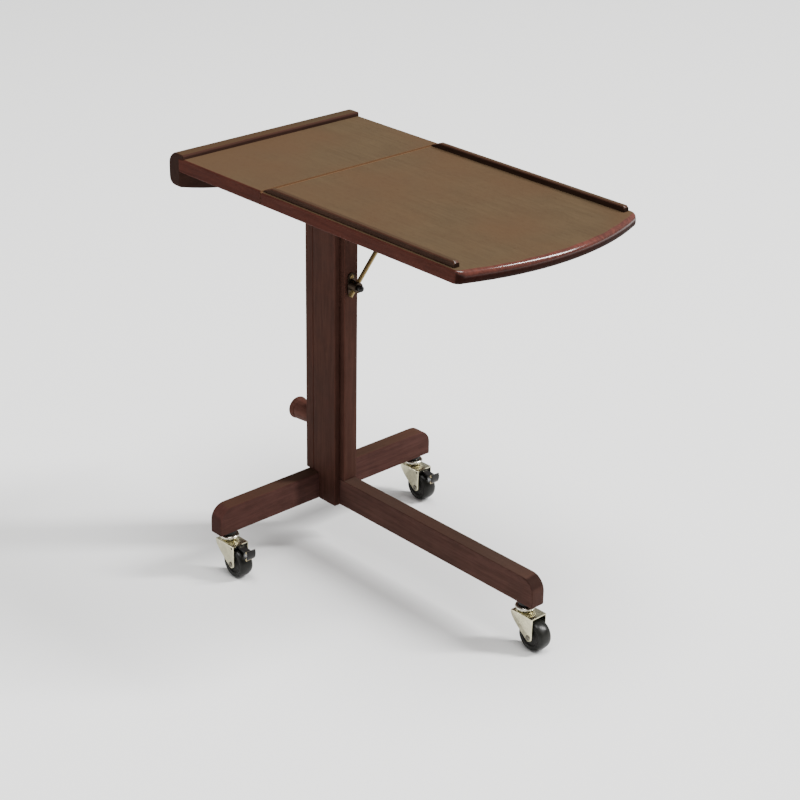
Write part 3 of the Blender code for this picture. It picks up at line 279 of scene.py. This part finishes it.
def wood(name, grain, side, crown, edges=0.5, edge_tint=RUBBED_AND_HIGHLIT, gloss=0.05, lacquer=0.0, seam=None):
    """Stained wood: grain, pores, dark end grain, and edges rubbed pale with a painted highlight, or
    darkened.

    Faces that look up take the crown's colour, partly their own colour and partly a painted sheen of the
    light from above. With lacquer, those that look along +X get painted shade below and a painted lit red
    above, with a coat only where they look up.
    Where a seam's place along X is given, the wood is a panel's and shows its plies there, not end grain.
    """
    made, tree, shader = blank_material(name, Specular_IOR_Level=gloss, Specular_Tint=WOOD_SHEEN,
                                        Coat_Roughness=LACQUER_ROUGHNESS)
    place = add_node(tree, "TexCoord", {})
    here = place.outputs["Object"]
    facing = add_node(tree, "SeparateXYZ", {0: place.outputs["Normal"]}).outputs
    sizes = {axis: calculate(tree, "ABSOLUTE", facing[axis]) for axis in "XYZ"}
    widest = calculate(tree, "MAXIMUM", calculate(tree, "MAXIMUM", sizes["X"], sizes["Y"]), sizes["Z"])
    is_edge = remap(tree, widest, 0.985, 0.90)
    is_crown = remap(tree, facing["Z"], 0.93, 0.985)
    is_end = remap(tree, sizes[grain], 0.86, 0.97)

    streaks = noise(tree, here, ALONG[grain], scale=11.0, detail=6.0, roughness=0.62, distortion=0.5)
    fine = noise(tree, here, ALONG[grain], scale=55.0, detail=3.0, roughness=0.6)
    specks = noise(tree, here, ALONG[grain], scale=90.0, detail=2.0, roughness=0.5)
    cloud = noise(tree, here, EVEN, scale=16.0, detail=3.0, roughness=0.6)
    stain = noise(tree, here, EVEN, scale=5.0, detail=2.0, roughness=0.5)
    pores = remap(tree, specks, 0.60, 0.68)
    figure = times(tree, streaks, 0.5)
    figure = calculate(tree, "ADD", figure, times(tree, fine, 0.2))
    figure = calculate(tree, "ADD", figure, times(tree, cloud, 0.3))
    tone = remap(tree, figure, 0.36, 0.64)

    side_colour = mix(tree, tone, shade(side, 0.76), shade(side, 1.24))
    crown_colour = mix(tree, tone, shade(crown, 0.9), shade(crown, 1.1))
    redder_crown = tint(crown, (1.06, 0.92, 0.9))
    crown_colour = mix(tree, remap(tree, stain, 0.35, 0.65, 0.0, 0.8), crown_colour, redder_crown)
    # Up-facing faces take the crown's colour: partly their own, partly a painted sheen of the light from
    # above.
    colour = mix(tree, is_crown, side_colour, crown_colour)
    colour = mix(tree, times(tree, pores, 0.3), colour, shade(side, 0.4))
    # Edges take their tint: by default pale, rubbed wear with a painted highlight; on the front foot
    # darker.
    colour = mix(tree, times(tree, is_edge, edges), colour, tint(side, edge_tint))
    if lacquer:
        # Painted shade and painted light: faces that look along +X are dark below and a lit red above.
        is_nose = remap(tree, facing["X"], 0.1, 0.4)
        colour = mix(tree, is_nose, colour, painted_nose_shade(tree, facing, tone, side))
        glossy = remap(tree, facing["Z"], 0.0, 0.3, 0.0, lacquer)
        tree.links.new(times(tree, is_nose, glossy), shader.inputs["Coat Weight"])
    if seam is None:
        colour = mix(tree, times(tree, is_end, 0.65), colour, shade(side, 0.55))
    else:
        colour = show_plies(tree, here, sizes, colour, seam)
    tree.links.new(colour, shader.inputs["Base Color"])
    tree.links.new(remap(tree, cloud, 0.3, 0.7, 0.6, 0.72), shader.inputs["Roughness"])
    is_flat = calculate(tree, "SUBTRACT", 1.0, calculate(tree, "MAXIMUM", is_edge, is_end))
    relief = times(tree, calculate(tree, "SUBTRACT", streaks, pores), is_flat)
    set_bump(tree, shader, relief, WOOD_RELIEF)
    return made


def metal(name, colour, roughness, brush, wear):
    """Plated or bare metal: clouded plating, fine scratches, and darker patches where it is worn."""
    made, tree, shader = blank_material(name, Metallic=1.0)
    here = add_node(tree, "TexCoord", {}).outputs["Object"]
    cloud = noise(tree, here, EVEN, scale=120.0, detail=4.0, roughness=0.6)
    scratch = noise(tree, here, brush, scale=260.0, detail=3.0, roughness=0.7)
    patches = noise(tree, here, EVEN, scale=60.0, detail=5.0, roughness=0.65)
    is_worn = times(tree, remap(tree, patches, 0.55, 0.75), wear)
    plating = mix(tree, remap(tree, cloud, 0.35, 0.65), shade(colour, 0.86), shade(colour, 1.1))
    tree.links.new(mix(tree, is_worn, plating, shade(colour, 0.45)), shader.inputs["Base Color"])
    rough = remap(tree, scratch, 0.3, 0.7, roughness - 0.06, roughness + 0.1)
    tree.links.new(rough, shader.inputs["Roughness"])
    set_bump(tree, shader, scratch, METAL_RELIEF)
    return made


def moulded(name, colour, roughness, grain_scale, grain_depth):
    """Moulded plastic or rubber: a fine pebble grain and a little dust in the colour."""
    made, tree, shader = blank_material(name, Specular_IOR_Level=0.2)
    here = add_node(tree, "TexCoord", {}).outputs["Object"]
    pebble = noise(tree, here, EVEN, scale=grain_scale, detail=3.0, roughness=0.6)
    dust = noise(tree, here, EVEN, scale=70.0, detail=5.0, roughness=0.65)
    dusty = mix(tree, remap(tree, dust, 0.4, 0.7), shade(colour, 0.85), shade(colour, 1.3))
    tree.links.new(dusty, shader.inputs["Base Color"])
    rough = remap(tree, dust, 0.3, 0.7, roughness - 0.07, roughness + 0.1)
    tree.links.new(rough, shader.inputs["Roughness"])
    set_bump(tree, shader, pebble, grain_depth)
    return made


def pedal_finish(name, metal_colour, black, toe_start):
    """A black lever, rubbed to the plating just before its toe, which starts at a place along X."""
    made, tree, shader = blank_material(name, Specular_IOR_Level=0.2)
    here = add_node(tree, "TexCoord", {}).outputs["Object"]
    along = add_node(tree, "SeparateXYZ", {0: here}).outputs["X"]
    bare_start = toe_start - BARE_LENGTH
    past_arm = remap(tree, along, bare_start - BARE_FADE, bare_start + BARE_FADE)
    is_toe = remap(tree, along, toe_start - TOE_FADE, toe_start + TOE_FADE)
    is_bare = times(tree, past_arm, calculate(tree, "SUBTRACT", 1.0, is_toe))
    cloud = noise(tree, here, EVEN, scale=120.0, detail=4.0, roughness=0.6)
    patchy = remap(tree, cloud, 0.35, 0.65)
    plating = mix(tree, patchy, shade(metal_colour, 0.86), shade(metal_colour, 1.1))
    coating = mix(tree, patchy, shade(black, 0.85), shade(black, 1.2))
    tree.links.new(mix(tree, is_bare, coating, plating), shader.inputs["Base Color"])
    tree.links.new(is_bare, shader.inputs["Metallic"])
    tree.links.new(remap(tree, cloud, 0.3, 0.7, 0.3, 0.5), shader.inputs["Roughness"])
    set_bump(tree, shader, cloud, METAL_RELIEF)
    return made


def make_finishes():
    """All materials of the cart but the pedals', by a short name."""
    red_side = linear(64, 42, 38)
    panel_side = linear(63, 33, 27)
    # The tops' colours are partly the wood's own and partly a painted sheen of the light from above.
    olive_top = linear(73, 60, 44)
    brown_top = linear(69, 50, 41)
    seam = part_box("leaf_panel")[0].x
    return {
        # With lacquer, the panel's nose and the ledges' ends get painted shade below and painted light
        # above.
        "panel": wood("veneered panel", "X", panel_side, olive_top, edges=0.0, lacquer=0.9, seam=seam),
        "ledge": wood("ledge wood", "X", linear(50, 35, 28), linear(62, 49, 36), edges=0.25, lacquer=0.25),
        "rail": wood("rail wood", "Y", linear(47, 31, 26), linear(62, 49, 35), edges=0.15),
        # The front foot's edges are darkened.
        "foot_x": wood("front foot wood", "X", linear(67, 46, 41), linear(67, 51, 44), edges=0.8,
                       edge_tint=DARKENED_EDGE),
        "foot_y": wood("cross foot wood", "Y", red_side, brown_top, edges=0.1),
        "upright": wood("upright wood", "Z", linear(58, 37, 31), brown_top),
        "under": wood("underside wood", "X", linear(44, 28, 24), brown_top),
        "knob_wood": wood("knob wood", "X", linear(77, 48, 41), linear(83, 52, 44), edges=0.0, gloss=0.12),
        "beech": wood("beech dowel", "X", linear(196, 158, 112), linear(200, 162, 116)),
        "zinc": metal("satin zinc", linear(202, 197, 168), 0.22, (1, 1, 12), 0.12),
        "bright": metal("bright zinc", linear(214, 210, 196), 0.2, (1, 1, 20), 0.1),
        "rivet": metal("rivet steel", linear(120, 116, 106), 0.3, (1, 12, 1), 0.3),
        "steel": metal("steel", linear(170, 168, 162), 0.34, (12, 1, 1), 0.2),
        "brass": metal("antique brass", linear(132, 114, 77), 0.48, (1, 10, 10), 0.25),
        "bronze": metal("dark bronze", linear(58, 48, 40), 0.42, EVEN, 0.35),
        "plastic": moulded("black plastic", linear(26, 25, 25), 0.42, 900.0, 0.00003),
        "hub": moulded("hub plastic", linear(34, 33, 31), 0.48, 900.0, 0.00004),
        "rubber": moulded("tyre rubber", linear(23, 23, 20), 0.33, 1400.0, 0.00003),
    }


def middle_of(node):
    """The middle of a CAD node's box."""
    low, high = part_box(node)
    return (low + high) / 2


def round_about_x(node):
    """Both ends along X, the radius, and the axis of a CAD node that is round about X."""
    low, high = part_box(node)
    axis = Vector((0, (low.y + high.y) / 2, (low.z + high.z) / 2))
    return low.x, high.x, (high.z - low.z) / 2, axis


def angles(start_deg, end_deg, steps):
    """Angles in radians, in equal steps from the first to the last."""
    turn = end_deg - start_deg
    return [math.radians(start_deg + turn * step / steps) for step in range(steps + 1)]


def both_sides(half, middle=()):
    """A profile that runs along the mirror image of its half, over the points in its middle, and back."""
    return [(radius, -distance) for radius, distance in half] + list(middle) + list(reversed(half))


def soften(profile, radius, closed=False, steps=3):
    """Round each corner of a profile, as far as its two neighbours leave room."""
    points = [Vector(point) for point in profile]
    count = len(points)
    rounded = []
    for here, corner in enumerate(points):
        if not closed and here in (0, count - 1):
            rounded.append(corner)
            continue
        before = points[here - 1] - corner
        after = points[(here + 1) % count] - corner
        reach = min(radius, before.length * 0.45, after.length * 0.45)
        first = corner + before.normalized() * reach
        last = corner + after.normalized() * reach
        for step in range(steps + 1):
            share = step / steps
            rounded.append(first.lerp(corner, share).lerp(corner.lerp(last, share), share))
    return rounded


def bulge(first, second, third, last, steps=14):
    """Points of a cubic curve after its first point."""
    points = []
    for step in range(1, steps + 1):
        share = step / steps
        rest = 1 - share
        points.append(Vector(first) * rest ** 3 + Vector(second) * 3 * rest ** 2 * share
                      + Vector(third) * 3 * rest * share ** 2 + Vector(last) * share ** 3)
    return points


def turned(profile, axis, centre, closed=False, facets=ROUND_FACETS):
    """Spin a profile of (radius, distance along the axis) points about an axis through a centre."""
    mesh = bmesh.new()
    centre = Vector(centre)
    along = AXES[axis]
    out = RADIAL[axis]
    verts = [mesh.verts.new(centre + out * radius + along * distance) for radius, distance in profile]
    pairs = list(zip(verts, verts[1:]))
    if closed:
        pairs.append((verts[-1], verts[0]))
    edges = [mesh.edges.new(pair) for pair in pairs]
    bmesh.ops.spin(mesh, geom=verts + edges, cent=centre, axis=along, angle=math.tau, steps=facets,
                   use_merge=True)
    bmesh.ops.remove_doubles(mesh, verts=mesh.verts, dist=MERGE_DISTANCE)
    bmesh.ops.recalc_face_normals(mesh, faces=mesh.faces)
    return mesh


def slab(outline, low_y, high_y, edge):
    """A plate with an outline of (x, z) points between two places along Y, its outer edges rounded."""
    mesh = bmesh.new()
    near = mesh.faces.new([mesh.verts.new((x, low_y, z)) for x, z in outline])
    made = bmesh.ops.extrude_face_region(mesh, geom=[near])
    far = [item for item in made["geom"] if isinstance(item, bmesh.types.BMVert)]
    bmesh.ops.translate(mesh, vec=(0, high_y - low_y, 0), verts=far)
    bmesh.ops.recalc_face_normals(mesh, faces=mesh.faces)
    rims = [line for line in mesh.edges if abs(line.verts[0].co.y - line.verts[1].co.y) < edge]
    bmesh.ops.bevel(mesh, geom=rims, offset=edge, segments=4, profile=0.5, affect="EDGES")
    return mesh


def block(low, high):
    """A plain box between two corners, used as a cutter."""
    mesh = bmesh.new()
    bmesh.ops.create_cube(mesh, size=1.0)
    size = Vector(high) - Vector(low)
    bmesh.ops.scale(mesh, vec=size, verts=mesh.verts)
    bmesh.ops.translate(mesh, vec=(Vector(low) + Vector(high)) / 2, verts=mesh.verts)
    return mesh


def pin(axis, centre, radius, half, facets=40):
    """A round bar, or one with a few flat sides, used as a cutter."""
    return turned([(0, -half), (radius, -half), (radius, half), (0, half)], axis, centre, facets=facets)


def hexagon(centre, across, half):
    """A six-sided bar along X with a width across its flats, used to cut a key socket."""
    return pin("X", centre, across / math.sqrt(3), half, facets=6)


def smooth(data):
    """Shade a mesh smooth between its sharp edges."""
    data.shade_smooth()
    data.set_sharp_from_angle(angle=math.radians(SHARP_EDGE_DEG))


def dress(name, mesh, finish, body, node):
    """Turn a mesh drawn in the CAD's frame into a piece that rides on a body and stands for a node."""
    data = bpy.data.meshes.new(name)
    mesh.to_mesh(data)
    mesh.free()
    data.materials.append(finish)
    smooth(data)
    made = bpy.data.objects.new(name, data)
    bpy.context.scene.collection.objects.link(made)
    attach(made, body)
    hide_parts(node)
    return made


def carve(target, mesh):
    """Cut a mesh out of a piece and keep only the result."""
    data = bpy.data.meshes.new("cutter")
    mesh.to_mesh(data)
    mesh.free()
    tool = bpy.data.objects.new("cutter", data)
    bpy.context.scene.collection.objects.link(tool)
    step = target.modifiers.new("cut", "BOOLEAN")
    step.operation = "DIFFERENCE"
    step.object = tool
    step.solver = "EXACT"
    ready = target.evaluated_get(bpy.context.evaluated_depsgraph_get())
    result = bpy.data.meshes.new_from_object(ready)
    target.modifiers.remove(step)
    target.data = result
    smooth(result)
    bpy.data.objects.remove(tool, do_unlink=True)


def dress_fork(name, finishes):
    """A pressed steel fork: round shoulders, and cheeks that bulge before they narrow to the axle's eye."""
    low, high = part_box("caster_fork_" + name)
    axle = middle_of("caster_axle_" + name)
    stem = middle_of("caster_stem_" + name)
    top = high.z
    eye = axle.z - low.z + FORK_EYE_MARGIN
    nose = low.x - FORK_NOSE_REACH
    heel = high.x - FORK_HEEL_SETBACK

    leave = math.radians(CHEEK_TOUCH_DEG)
    touch = Vector((axle.x + eye * math.cos(leave), axle.z + eye * math.sin(leave)))
    waist = touch + Vector((math.sin(leave), -math.cos(leave))) * CHEEK_WAIST
    bend = FORK_SHOULDER / 4
    outline = [Vector((nose + FORK_SHOULDER, top))]
    outline += bulge(outline[0], (nose + bend, top), (nose, top - bend), (nose, top - FORK_SHOULDER),
                     steps=6)
    outline += bulge(outline[-1], (nose, top - CHEEK_BULGE), waist, touch)
    for angle in angles(CHEEK_TOUCH_DEG, 360, 16)[1:]:
        outline.append(Vector((axle.x + (eye - FORK_HEEL_SETBACK) * math.cos(angle),
                               axle.z + eye * math.sin(angle))))
    outline.append(Vector((heel, top)))
    fork = dress("fork_" + name, slab(outline, low.y, high.y, FORK_EDGE), finishes["zinc"],
                 name + "_fork", "caster_fork_" + name)

    carve(fork, block((nose - CUTTER_MARGIN, low.y + FORK_SHEET, low.z - CUTTER_MARGIN),
                      (heel + CUTTER_MARGIN, high.y - FORK_SHEET, top - FORK_SHEET)))
    carve(fork, pin("Z", (stem.x, stem.y, top), STEM_HOLE, 2 * FORK_SHEET))
    carve(fork, pin("Y", axle, AXLE_HOLE, CUTTER_REACH))
    if name in BRAKED_CASTERS:
        pivot_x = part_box("brake_pedal_" + name)[0].x + PEDAL_HUB
        pivot_z = top - FORK_SHEET - PEDAL_GAP - PEDAL_HUB
        carve(fork, pin("Y", (pivot_x, axle.y, pivot_z), PEDAL_PIVOT_HOLE, CUTTER_REACH))


def dress_wheel(name, finishes):
    """A tyre with a round crown and a rim line, on a hub with a dished face."""
    low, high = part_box("wheel_tyre_" + name)
    centre = (low + high) / 2
    tread = (high.z - low.z) / 2
    half = (high.y - low.y) / 2
    seat = tread - TYRE_DEPTH
    edge = seat + TYRE_WALL
    line = half - RIM_LINE_DEPTH
    wall = [(seat, half - 0.0006), (seat + 0.0008, half), (seat + 0.0026, half), (seat + 0.0030, line),
            (seat + 0.0034, line), (edge, half)]
    for angle in angles(0, 90, 13)[1:-1]:
        wall.append((edge + (tread - edge) * math.sin(angle) ** TYRE_ROUNDNESS,
                     half * math.cos(angle) ** TYRE_ROUNDNESS))
    profile = both_sides(wall, middle=[(tread, 0)])
    dress("tyre_" + name, turned(profile, "Y", centre, closed=True, facets=72), finishes["rubber"],
          name + "_wheel", "wheel_tyre_" + name)

    low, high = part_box("wheel_hub_" + name)
    rim = (high.z - low.z) / 2
    boss_half = (high.y - low.y) / 2
    web = half - HUB_DISH
    ring = web + HUB_RING
    boss = [(AXLE_HOLE, boss_half), (HUB_BOSS, boss_half), (HUB_BOSS + 0.0009, half - 0.0008),
            (HUB_BOSS + 0.0030, web)]
    raised = [(rim - 0.0075, web), (rim - 0.0070, ring), (rim - 0.0058, ring), (rim - 0.0053, web)]
    border = [(rim - 0.0030, web), (rim - 0.0015, half), (rim, half)]
    profile = soften(both_sides(boss + raised + border), 0.0004, closed=True)
    dress("hub_" + name, turned(profile, "Y", centre, closed=True), finishes["hub"],
          name + "_wheel", "wheel_hub_" + name)


def dress_stem(name, finishes):
    """The stem with its grooved ball race and the king pin below it, and the socket's collar above."""
    low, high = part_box("caster_stem_" + name)
    socket_low, socket_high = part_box("caster_socket_" + name)
    centre = ((low.x + high.x) / 2, (low.y + high.y) / 2, 0)
    race = (high.x - low.x) / 2
    top = socket_low.z - RACE_GAP
    under = top - RACE_HEIGHT
    shaft = [(0, high.z), (STEM_RADIUS - 0.0008, high.z), (STEM_RADIUS, high.z - 0.0008),
             (STEM_RADIUS, top)]
    upper_cup = [(race - 0.0030, top), (race - 0.0012, top - 0.0005), (race, top - 0.0019),
                 (race, top - 0.0033), (race - 0.0011, top - 0.0041)]
    groove = [(race - 0.0034, top - 0.0044), (race - 0.0034, top - 0.0052)]
    lower_cup = [(race - 0.0020, top - 0.0056), (race - 0.0024, top - 0.0068),
                 (race - 0.0050, top - 0.0086), (race - 0.0068, under)]
    king_pin = [(STEM_RADIUS, under), (STEM_RADIUS, under - 0.0026), (KING_PIN_HEAD, under - 0.0026),
                (KING_PIN_HEAD, under - 0.0041), (KING_PIN_HEAD / 2, low.z), (0, low.z)]
    profile = soften(shaft + upper_cup + groove + lower_cup + king_pin, 0.0006)
    dress("race_" + name, turned(profile, "Z", centre), finishes["bright"],
          "base", "caster_stem_" + name)

    collar = (socket_high.x - socket_low.x) / 2
    foot = socket_low.z + COLLAR_HEIGHT
    profile = [(STEM_HOLE, socket_low.z), (collar - 0.0018, socket_low.z), (collar, socket_low.z + 0.0018),
               (collar, foot - 0.0010), (collar - 0.0006, foot), (SLEEVE_RADIUS, foot),
               (SLEEVE_RADIUS, socket_high.z), (STEM_HOLE, socket_high.z)]
    dress("socket_" + name, turned(soften(profile, 0.0007, closed=True), "Z", centre, closed=True),
          finishes["plastic"], "base", "caster_socket_" + name)


def dress_rivet(name, finishes):
    """The wheel's axle, a rivet with a hollow head on each side."""
    low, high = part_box("caster_axle_" + name)
    tip = (high.y - low.y) / 2
    seat = tip - RIVET_HEAD
    head = (high.x - low.x) / 2
    hollow = [(0, tip - 0.0006), (0.0010, tip - 0.0006), (0.0014, tip - 0.0011),
              (head - 0.0025, tip - 0.0011)]
    border = [(head - 0.0019, tip), (head - 0.0011, tip), (head, seat + 0.0004), (head, seat)]
    profile = soften(both_sides(hollow + border + [(AXLE_RADIUS, seat)]), 0.0003)
    dress("rivet_" + name, turned(profile, "Y", (low + high) / 2, facets=40), finishes["rivet"],
          name + "_fork", "caster_axle_" + name)


def dress_height_knob(finishes):
    """The turned wooden knob on the back: a cone, a groove and a domed head, measured from its foot."""
    start, end, rim, axis = round_about_x("height_knob")
    length = end - start
    groove = length - KNOB_HEAD_LENGTH
    profile = [(0, -KNOB_HOLE_DEPTH), (KNOB_HOLE, -KNOB_HOLE_DEPTH), (KNOB_HOLE, 0)]
    profile += [(KNOB_FOOT - 0.0007, 0), (KNOB_FOOT, -0.0006), (KNOB_NECK, 0.0025 - groove)]
    profile += [(KNOB_GROOVE + 0.0003, 0.0009 - groove), (KNOB_GROOVE, -groove),
                (KNOB_GROOVE + 0.0005, -0.0009 - groove), (KNOB_NECK, -0.0025 - groove)]
    for angle in angles(0, 90, 16)[:-1]:
        profile.append((rim * math.cos(angle), KNOB_DOME - length - KNOB_DOME * math.sin(angle)))
    profile.append((0, -length))
    foot = axis + Vector((end, 0, 0))
    dress("turned_height_knob", turned(soften(profile, 0.0012), "X", foot, facets=80),
          finishes["knob_wood"], "height_clamp", "height_knob")


def dress_tilt_knob(finishes):
    """The small ball knob of the stay's clamp, on its screw."""
    start, end, ball, axis = round_about_x("tilt_knob")
    middle = end - ball
    profile = [(0, start), (BALL_SCREW, start), (BALL_SCREW, middle - BALL_NECK)]
    for angle in angles(BALL_START_DEG, 0, 20)[:-1]:
        profile.append((ball * math.sin(angle), middle + ball * math.cos(angle)))
    profile.append((0, end))
    dress("ball_tilt_knob", turned(soften(profile, 0.0003), "X", axis, facets=48), finishes["plastic"],
          "tilt_clamp", "tilt_knob")


def dress_clamp_screw(place, finishes):
    """A slotted round-head screw of the clamp's plate."""
    start, end, head, axis = round_about_x("clamp_screw_" + place)
    seat = end - SCREW_HEAD
    dome = SCREW_HEAD - SCREW_HEAD_RIM
    profile = [(0, start), (SCREW_RADIUS, start + SCREW_POINT), (SCREW_RADIUS, seat), (head, seat)]
    for angle in angles(0, 80, 6):
        profile.append((head * math.cos(angle), seat + SCREW_HEAD_RIM + dome * math.sin(angle)))
    profile.append((0, end))
    screw = dress("slotted_screw_" + place, turned(profile, "X", axis, facets=40), finishes["brass"],
                  "lifting_post", "clamp_screw_" + place)
    slot_middle = axis + Vector((end, 0, 0))
    slot_reach = Vector((SCREW_SLOT_DEPTH, 2 * head, SCREW_SLOT_HALF))
    carve(screw, block(slot_middle - slot_reach, slot_middle + slot_reach))


def dress_bolts(finishes):
    """The guide bolt's button head and the foot bolt's straight head, each with a key socket."""
    start, end, head, axis = round_about_x("guide_bolt")
    seat = start + BOLT_HEAD
    profile = [(0, start), (0.0048, start), (0.0080, start + 0.0008), (head - 0.0003, start + 0.0022),
               (head, start + 0.0034), (head, seat), (GUIDE_BOLT_RADIUS, seat),
               (GUIDE_BOLT_RADIUS, end), (0, end)]
    bolt = dress("button_head_bolt", turned(soften(profile, 0.0004), "X", axis, facets=48),
                 finishes["steel"], "lifting_post", "guide_bolt")
    carve(bolt, hexagon(axis + Vector((start, 0, 0)), GUIDE_KEY_WIDTH, GUIDE_KEY_DEPTH))

    start, end, head, axis = round_about_x("foot_bolt")
    seat = start + BOLT_HEAD
    profile = [(0, start), (head - 0.0006, start), (head, start + 0.0006), (head, seat),
               (FOOT_BOLT_RADIUS, seat), (FOOT_BOLT_RADIUS, end), (0, end)]
    bolt = dress("socket_head_bolt", turned(soften(profile, 0.0003), "X", axis, facets=48),
                 finishes["steel"], "base", "foot_bolt")
    carve(bolt, hexagon(axis + Vector((start, 0, 0)), FOOT_KEY_WIDTH, FOOT_KEY_DEPTH))


def dress_washer(finishes):
    """The washer under the height knob."""
    start, end, rim, axis = round_about_x("knob_washer")
    profile = [(WASHER_HOLE, start), (rim, start), (rim, end), (WASHER_HOLE, end)]
    dress("round_washer", turned(soften(profile, 0.0004, closed=True), "X", axis, closed=True),
          finishes["steel"], "lifting_post", "knob_washer")


def dress_end_cap(finishes):
    """The plug with a flange that closes the end of the tilt tube."""
    start, end, flange, axis = round_about_x("tube_end_cap")
    face = end - CAP_FLANGE
    profile = [(0, start), (CAP_PLUG - 0.0008, start), (CAP_PLUG, start + 0.0012), (CAP_PLUG, face),
               (flange, face), (flange, face + 0.0014), (flange - 0.0016, end), (0, end)]
    dress("round_end_cap", turned(soften(profile, 0.0006), "X", axis, facets=56), finishes["plastic"],
          "lifting_post", "tube_end_cap")


def finish_node(node, finish, edge=0.0):
    """Give a CAD node its material, and shade it smooth between its sharp edges."""
    data = node.data
    if data.has_custom_normals:
        data.attributes.remove(data.attributes["custom_normal"])
    data.shade_smooth()
    data.materials.clear()
    data.materials.append(finish)
    weld = node.modifiers.new("weld", "WELD")
    weld.merge_threshold = WELD_DISTANCE
    if edge:
        bevel = node.modifiers.new("soft edges", "BEVEL")
        bevel.width = edge
        bevel.segments = 2
        bevel.limit_method = "ANGLE"
        bevel.angle_limit = math.radians(ROUNDED_EDGE_DEG)
    split = node.modifiers.new("sharp edges", "EDGE_SPLIT")
    split.split_angle = math.radians(SHARP_EDGE_DEG)
    split.use_edge_sharp = False
    flat = node.modifiers.new("flat faces", "WEIGHTED_NORMAL")
    flat.keep_sharp = True


def finish_pedal(name, node):
    """Give a brake pedal its own finish, since the place of its toe is part of it."""
    toe_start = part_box("brake_pedal_" + name)[1].x - TOE_LENGTH
    look = pedal_finish("pedal " + name, linear(206, 190, 150), linear(30, 29, 29), toe_start)
    finish_node(node, look, PEDAL_ROUNDING)


def make_camera():
    """The camera of the photograph."""
    lens = bpy.data.cameras.new("camera")
    lens.lens = CAMERA_LENS_MM
    lens.sensor_width = CAMERA_SENSOR_MM
    lens.shift_x = CAMERA_SHIFT_X
    camera = bpy.data.objects.new("camera", lens)
    camera.location = CAMERA_PLACE
    camera.rotation_euler = Euler([math.radians(angle) for angle in CAMERA_TURN_DEG], "XYZ")
    bpy.context.scene.collection.objects.link(camera)
    bpy.context.scene.camera = camera


def soft_box(name, azimuth_deg, elevation_deg, distance, width, height, watts):
    """A rectangular light that looks at the middle of the cart."""
    azimuth = math.radians(azimuth_deg)
    elevation = math.radians(elevation_deg)
    aim = Vector((0, 0, AIM_HEIGHT))
    away = Vector((math.cos(elevation) * math.cos(azimuth), math.cos(elevation) * math.sin(azimuth),
                   math.sin(elevation)))
    lamp = bpy.data.lights.new(name, "AREA")
    lamp.shape = "RECTANGLE"
    lamp.size = width
    lamp.size_y = height
    lamp.energy = watts
    made = bpy.data.objects.new(name, lamp)
    made.location = aim + away * distance
    made.rotation_euler = away.to_track_quat("Z", "Y").to_euler()
    bpy.context.scene.collection.objects.link(made)


def make_room():
    """A dim white room and a plain pale floor."""
    world = bpy.data.worlds.new("white room")
    world.use_nodes = True
    background = world.node_tree.nodes["Background"]
    background.inputs["Color"].default_value = ROOM_COLOUR
    background.inputs["Strength"].default_value = ROOM_STRENGTH
    bpy.context.scene.world = world

    mesh = bmesh.new()
    bmesh.ops.create_grid(mesh, x_segments=1, y_segments=1, size=FLOOR_SIZE / 2)
    data = bpy.data.meshes.new("floor")
    mesh.to_mesh(data)
    mesh.free()
    paper = blank_material("pale floor", Roughness=1.0, Specular_IOR_Level=0.0, Base_Color=FLOOR_COLOUR)[0]
    data.materials.append(paper)
    floor = bpy.data.objects.new("floor", data)
    bpy.context.scene.collection.objects.link(floor)


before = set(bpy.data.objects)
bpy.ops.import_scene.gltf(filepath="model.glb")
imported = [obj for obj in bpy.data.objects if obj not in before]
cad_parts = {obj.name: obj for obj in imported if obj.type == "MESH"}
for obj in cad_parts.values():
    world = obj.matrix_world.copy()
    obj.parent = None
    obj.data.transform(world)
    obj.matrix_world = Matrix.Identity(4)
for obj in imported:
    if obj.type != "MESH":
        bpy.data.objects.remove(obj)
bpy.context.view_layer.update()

finishes = make_finishes()
for finish_name, node_names in NODE_FINISHES.items():
    for node_name in node_names:
        finish_node(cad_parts[node_name], finishes[finish_name], EDGE_ROUNDING.get(node_name, 0.0))
for caster in BRAKED_CASTERS:
    finish_pedal(caster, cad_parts["brake_pedal_" + caster])
for caster in CASTERS:
    dress_fork(caster, finishes)
    dress_wheel(caster, finishes)
    dress_stem(caster, finishes)
    dress_rivet(caster, finishes)
dress_height_knob(finishes)
dress_tilt_knob(finishes)
for screw_place in ("upper", "lower"):
    dress_clamp_screw(screw_place, finishes)
dress_bolts(finishes)
dress_washer(finishes)
dress_end_cap(finishes)

make_camera()
for light_name, light in LIGHTS.items():
    soft_box(light_name, **light)
make_room()
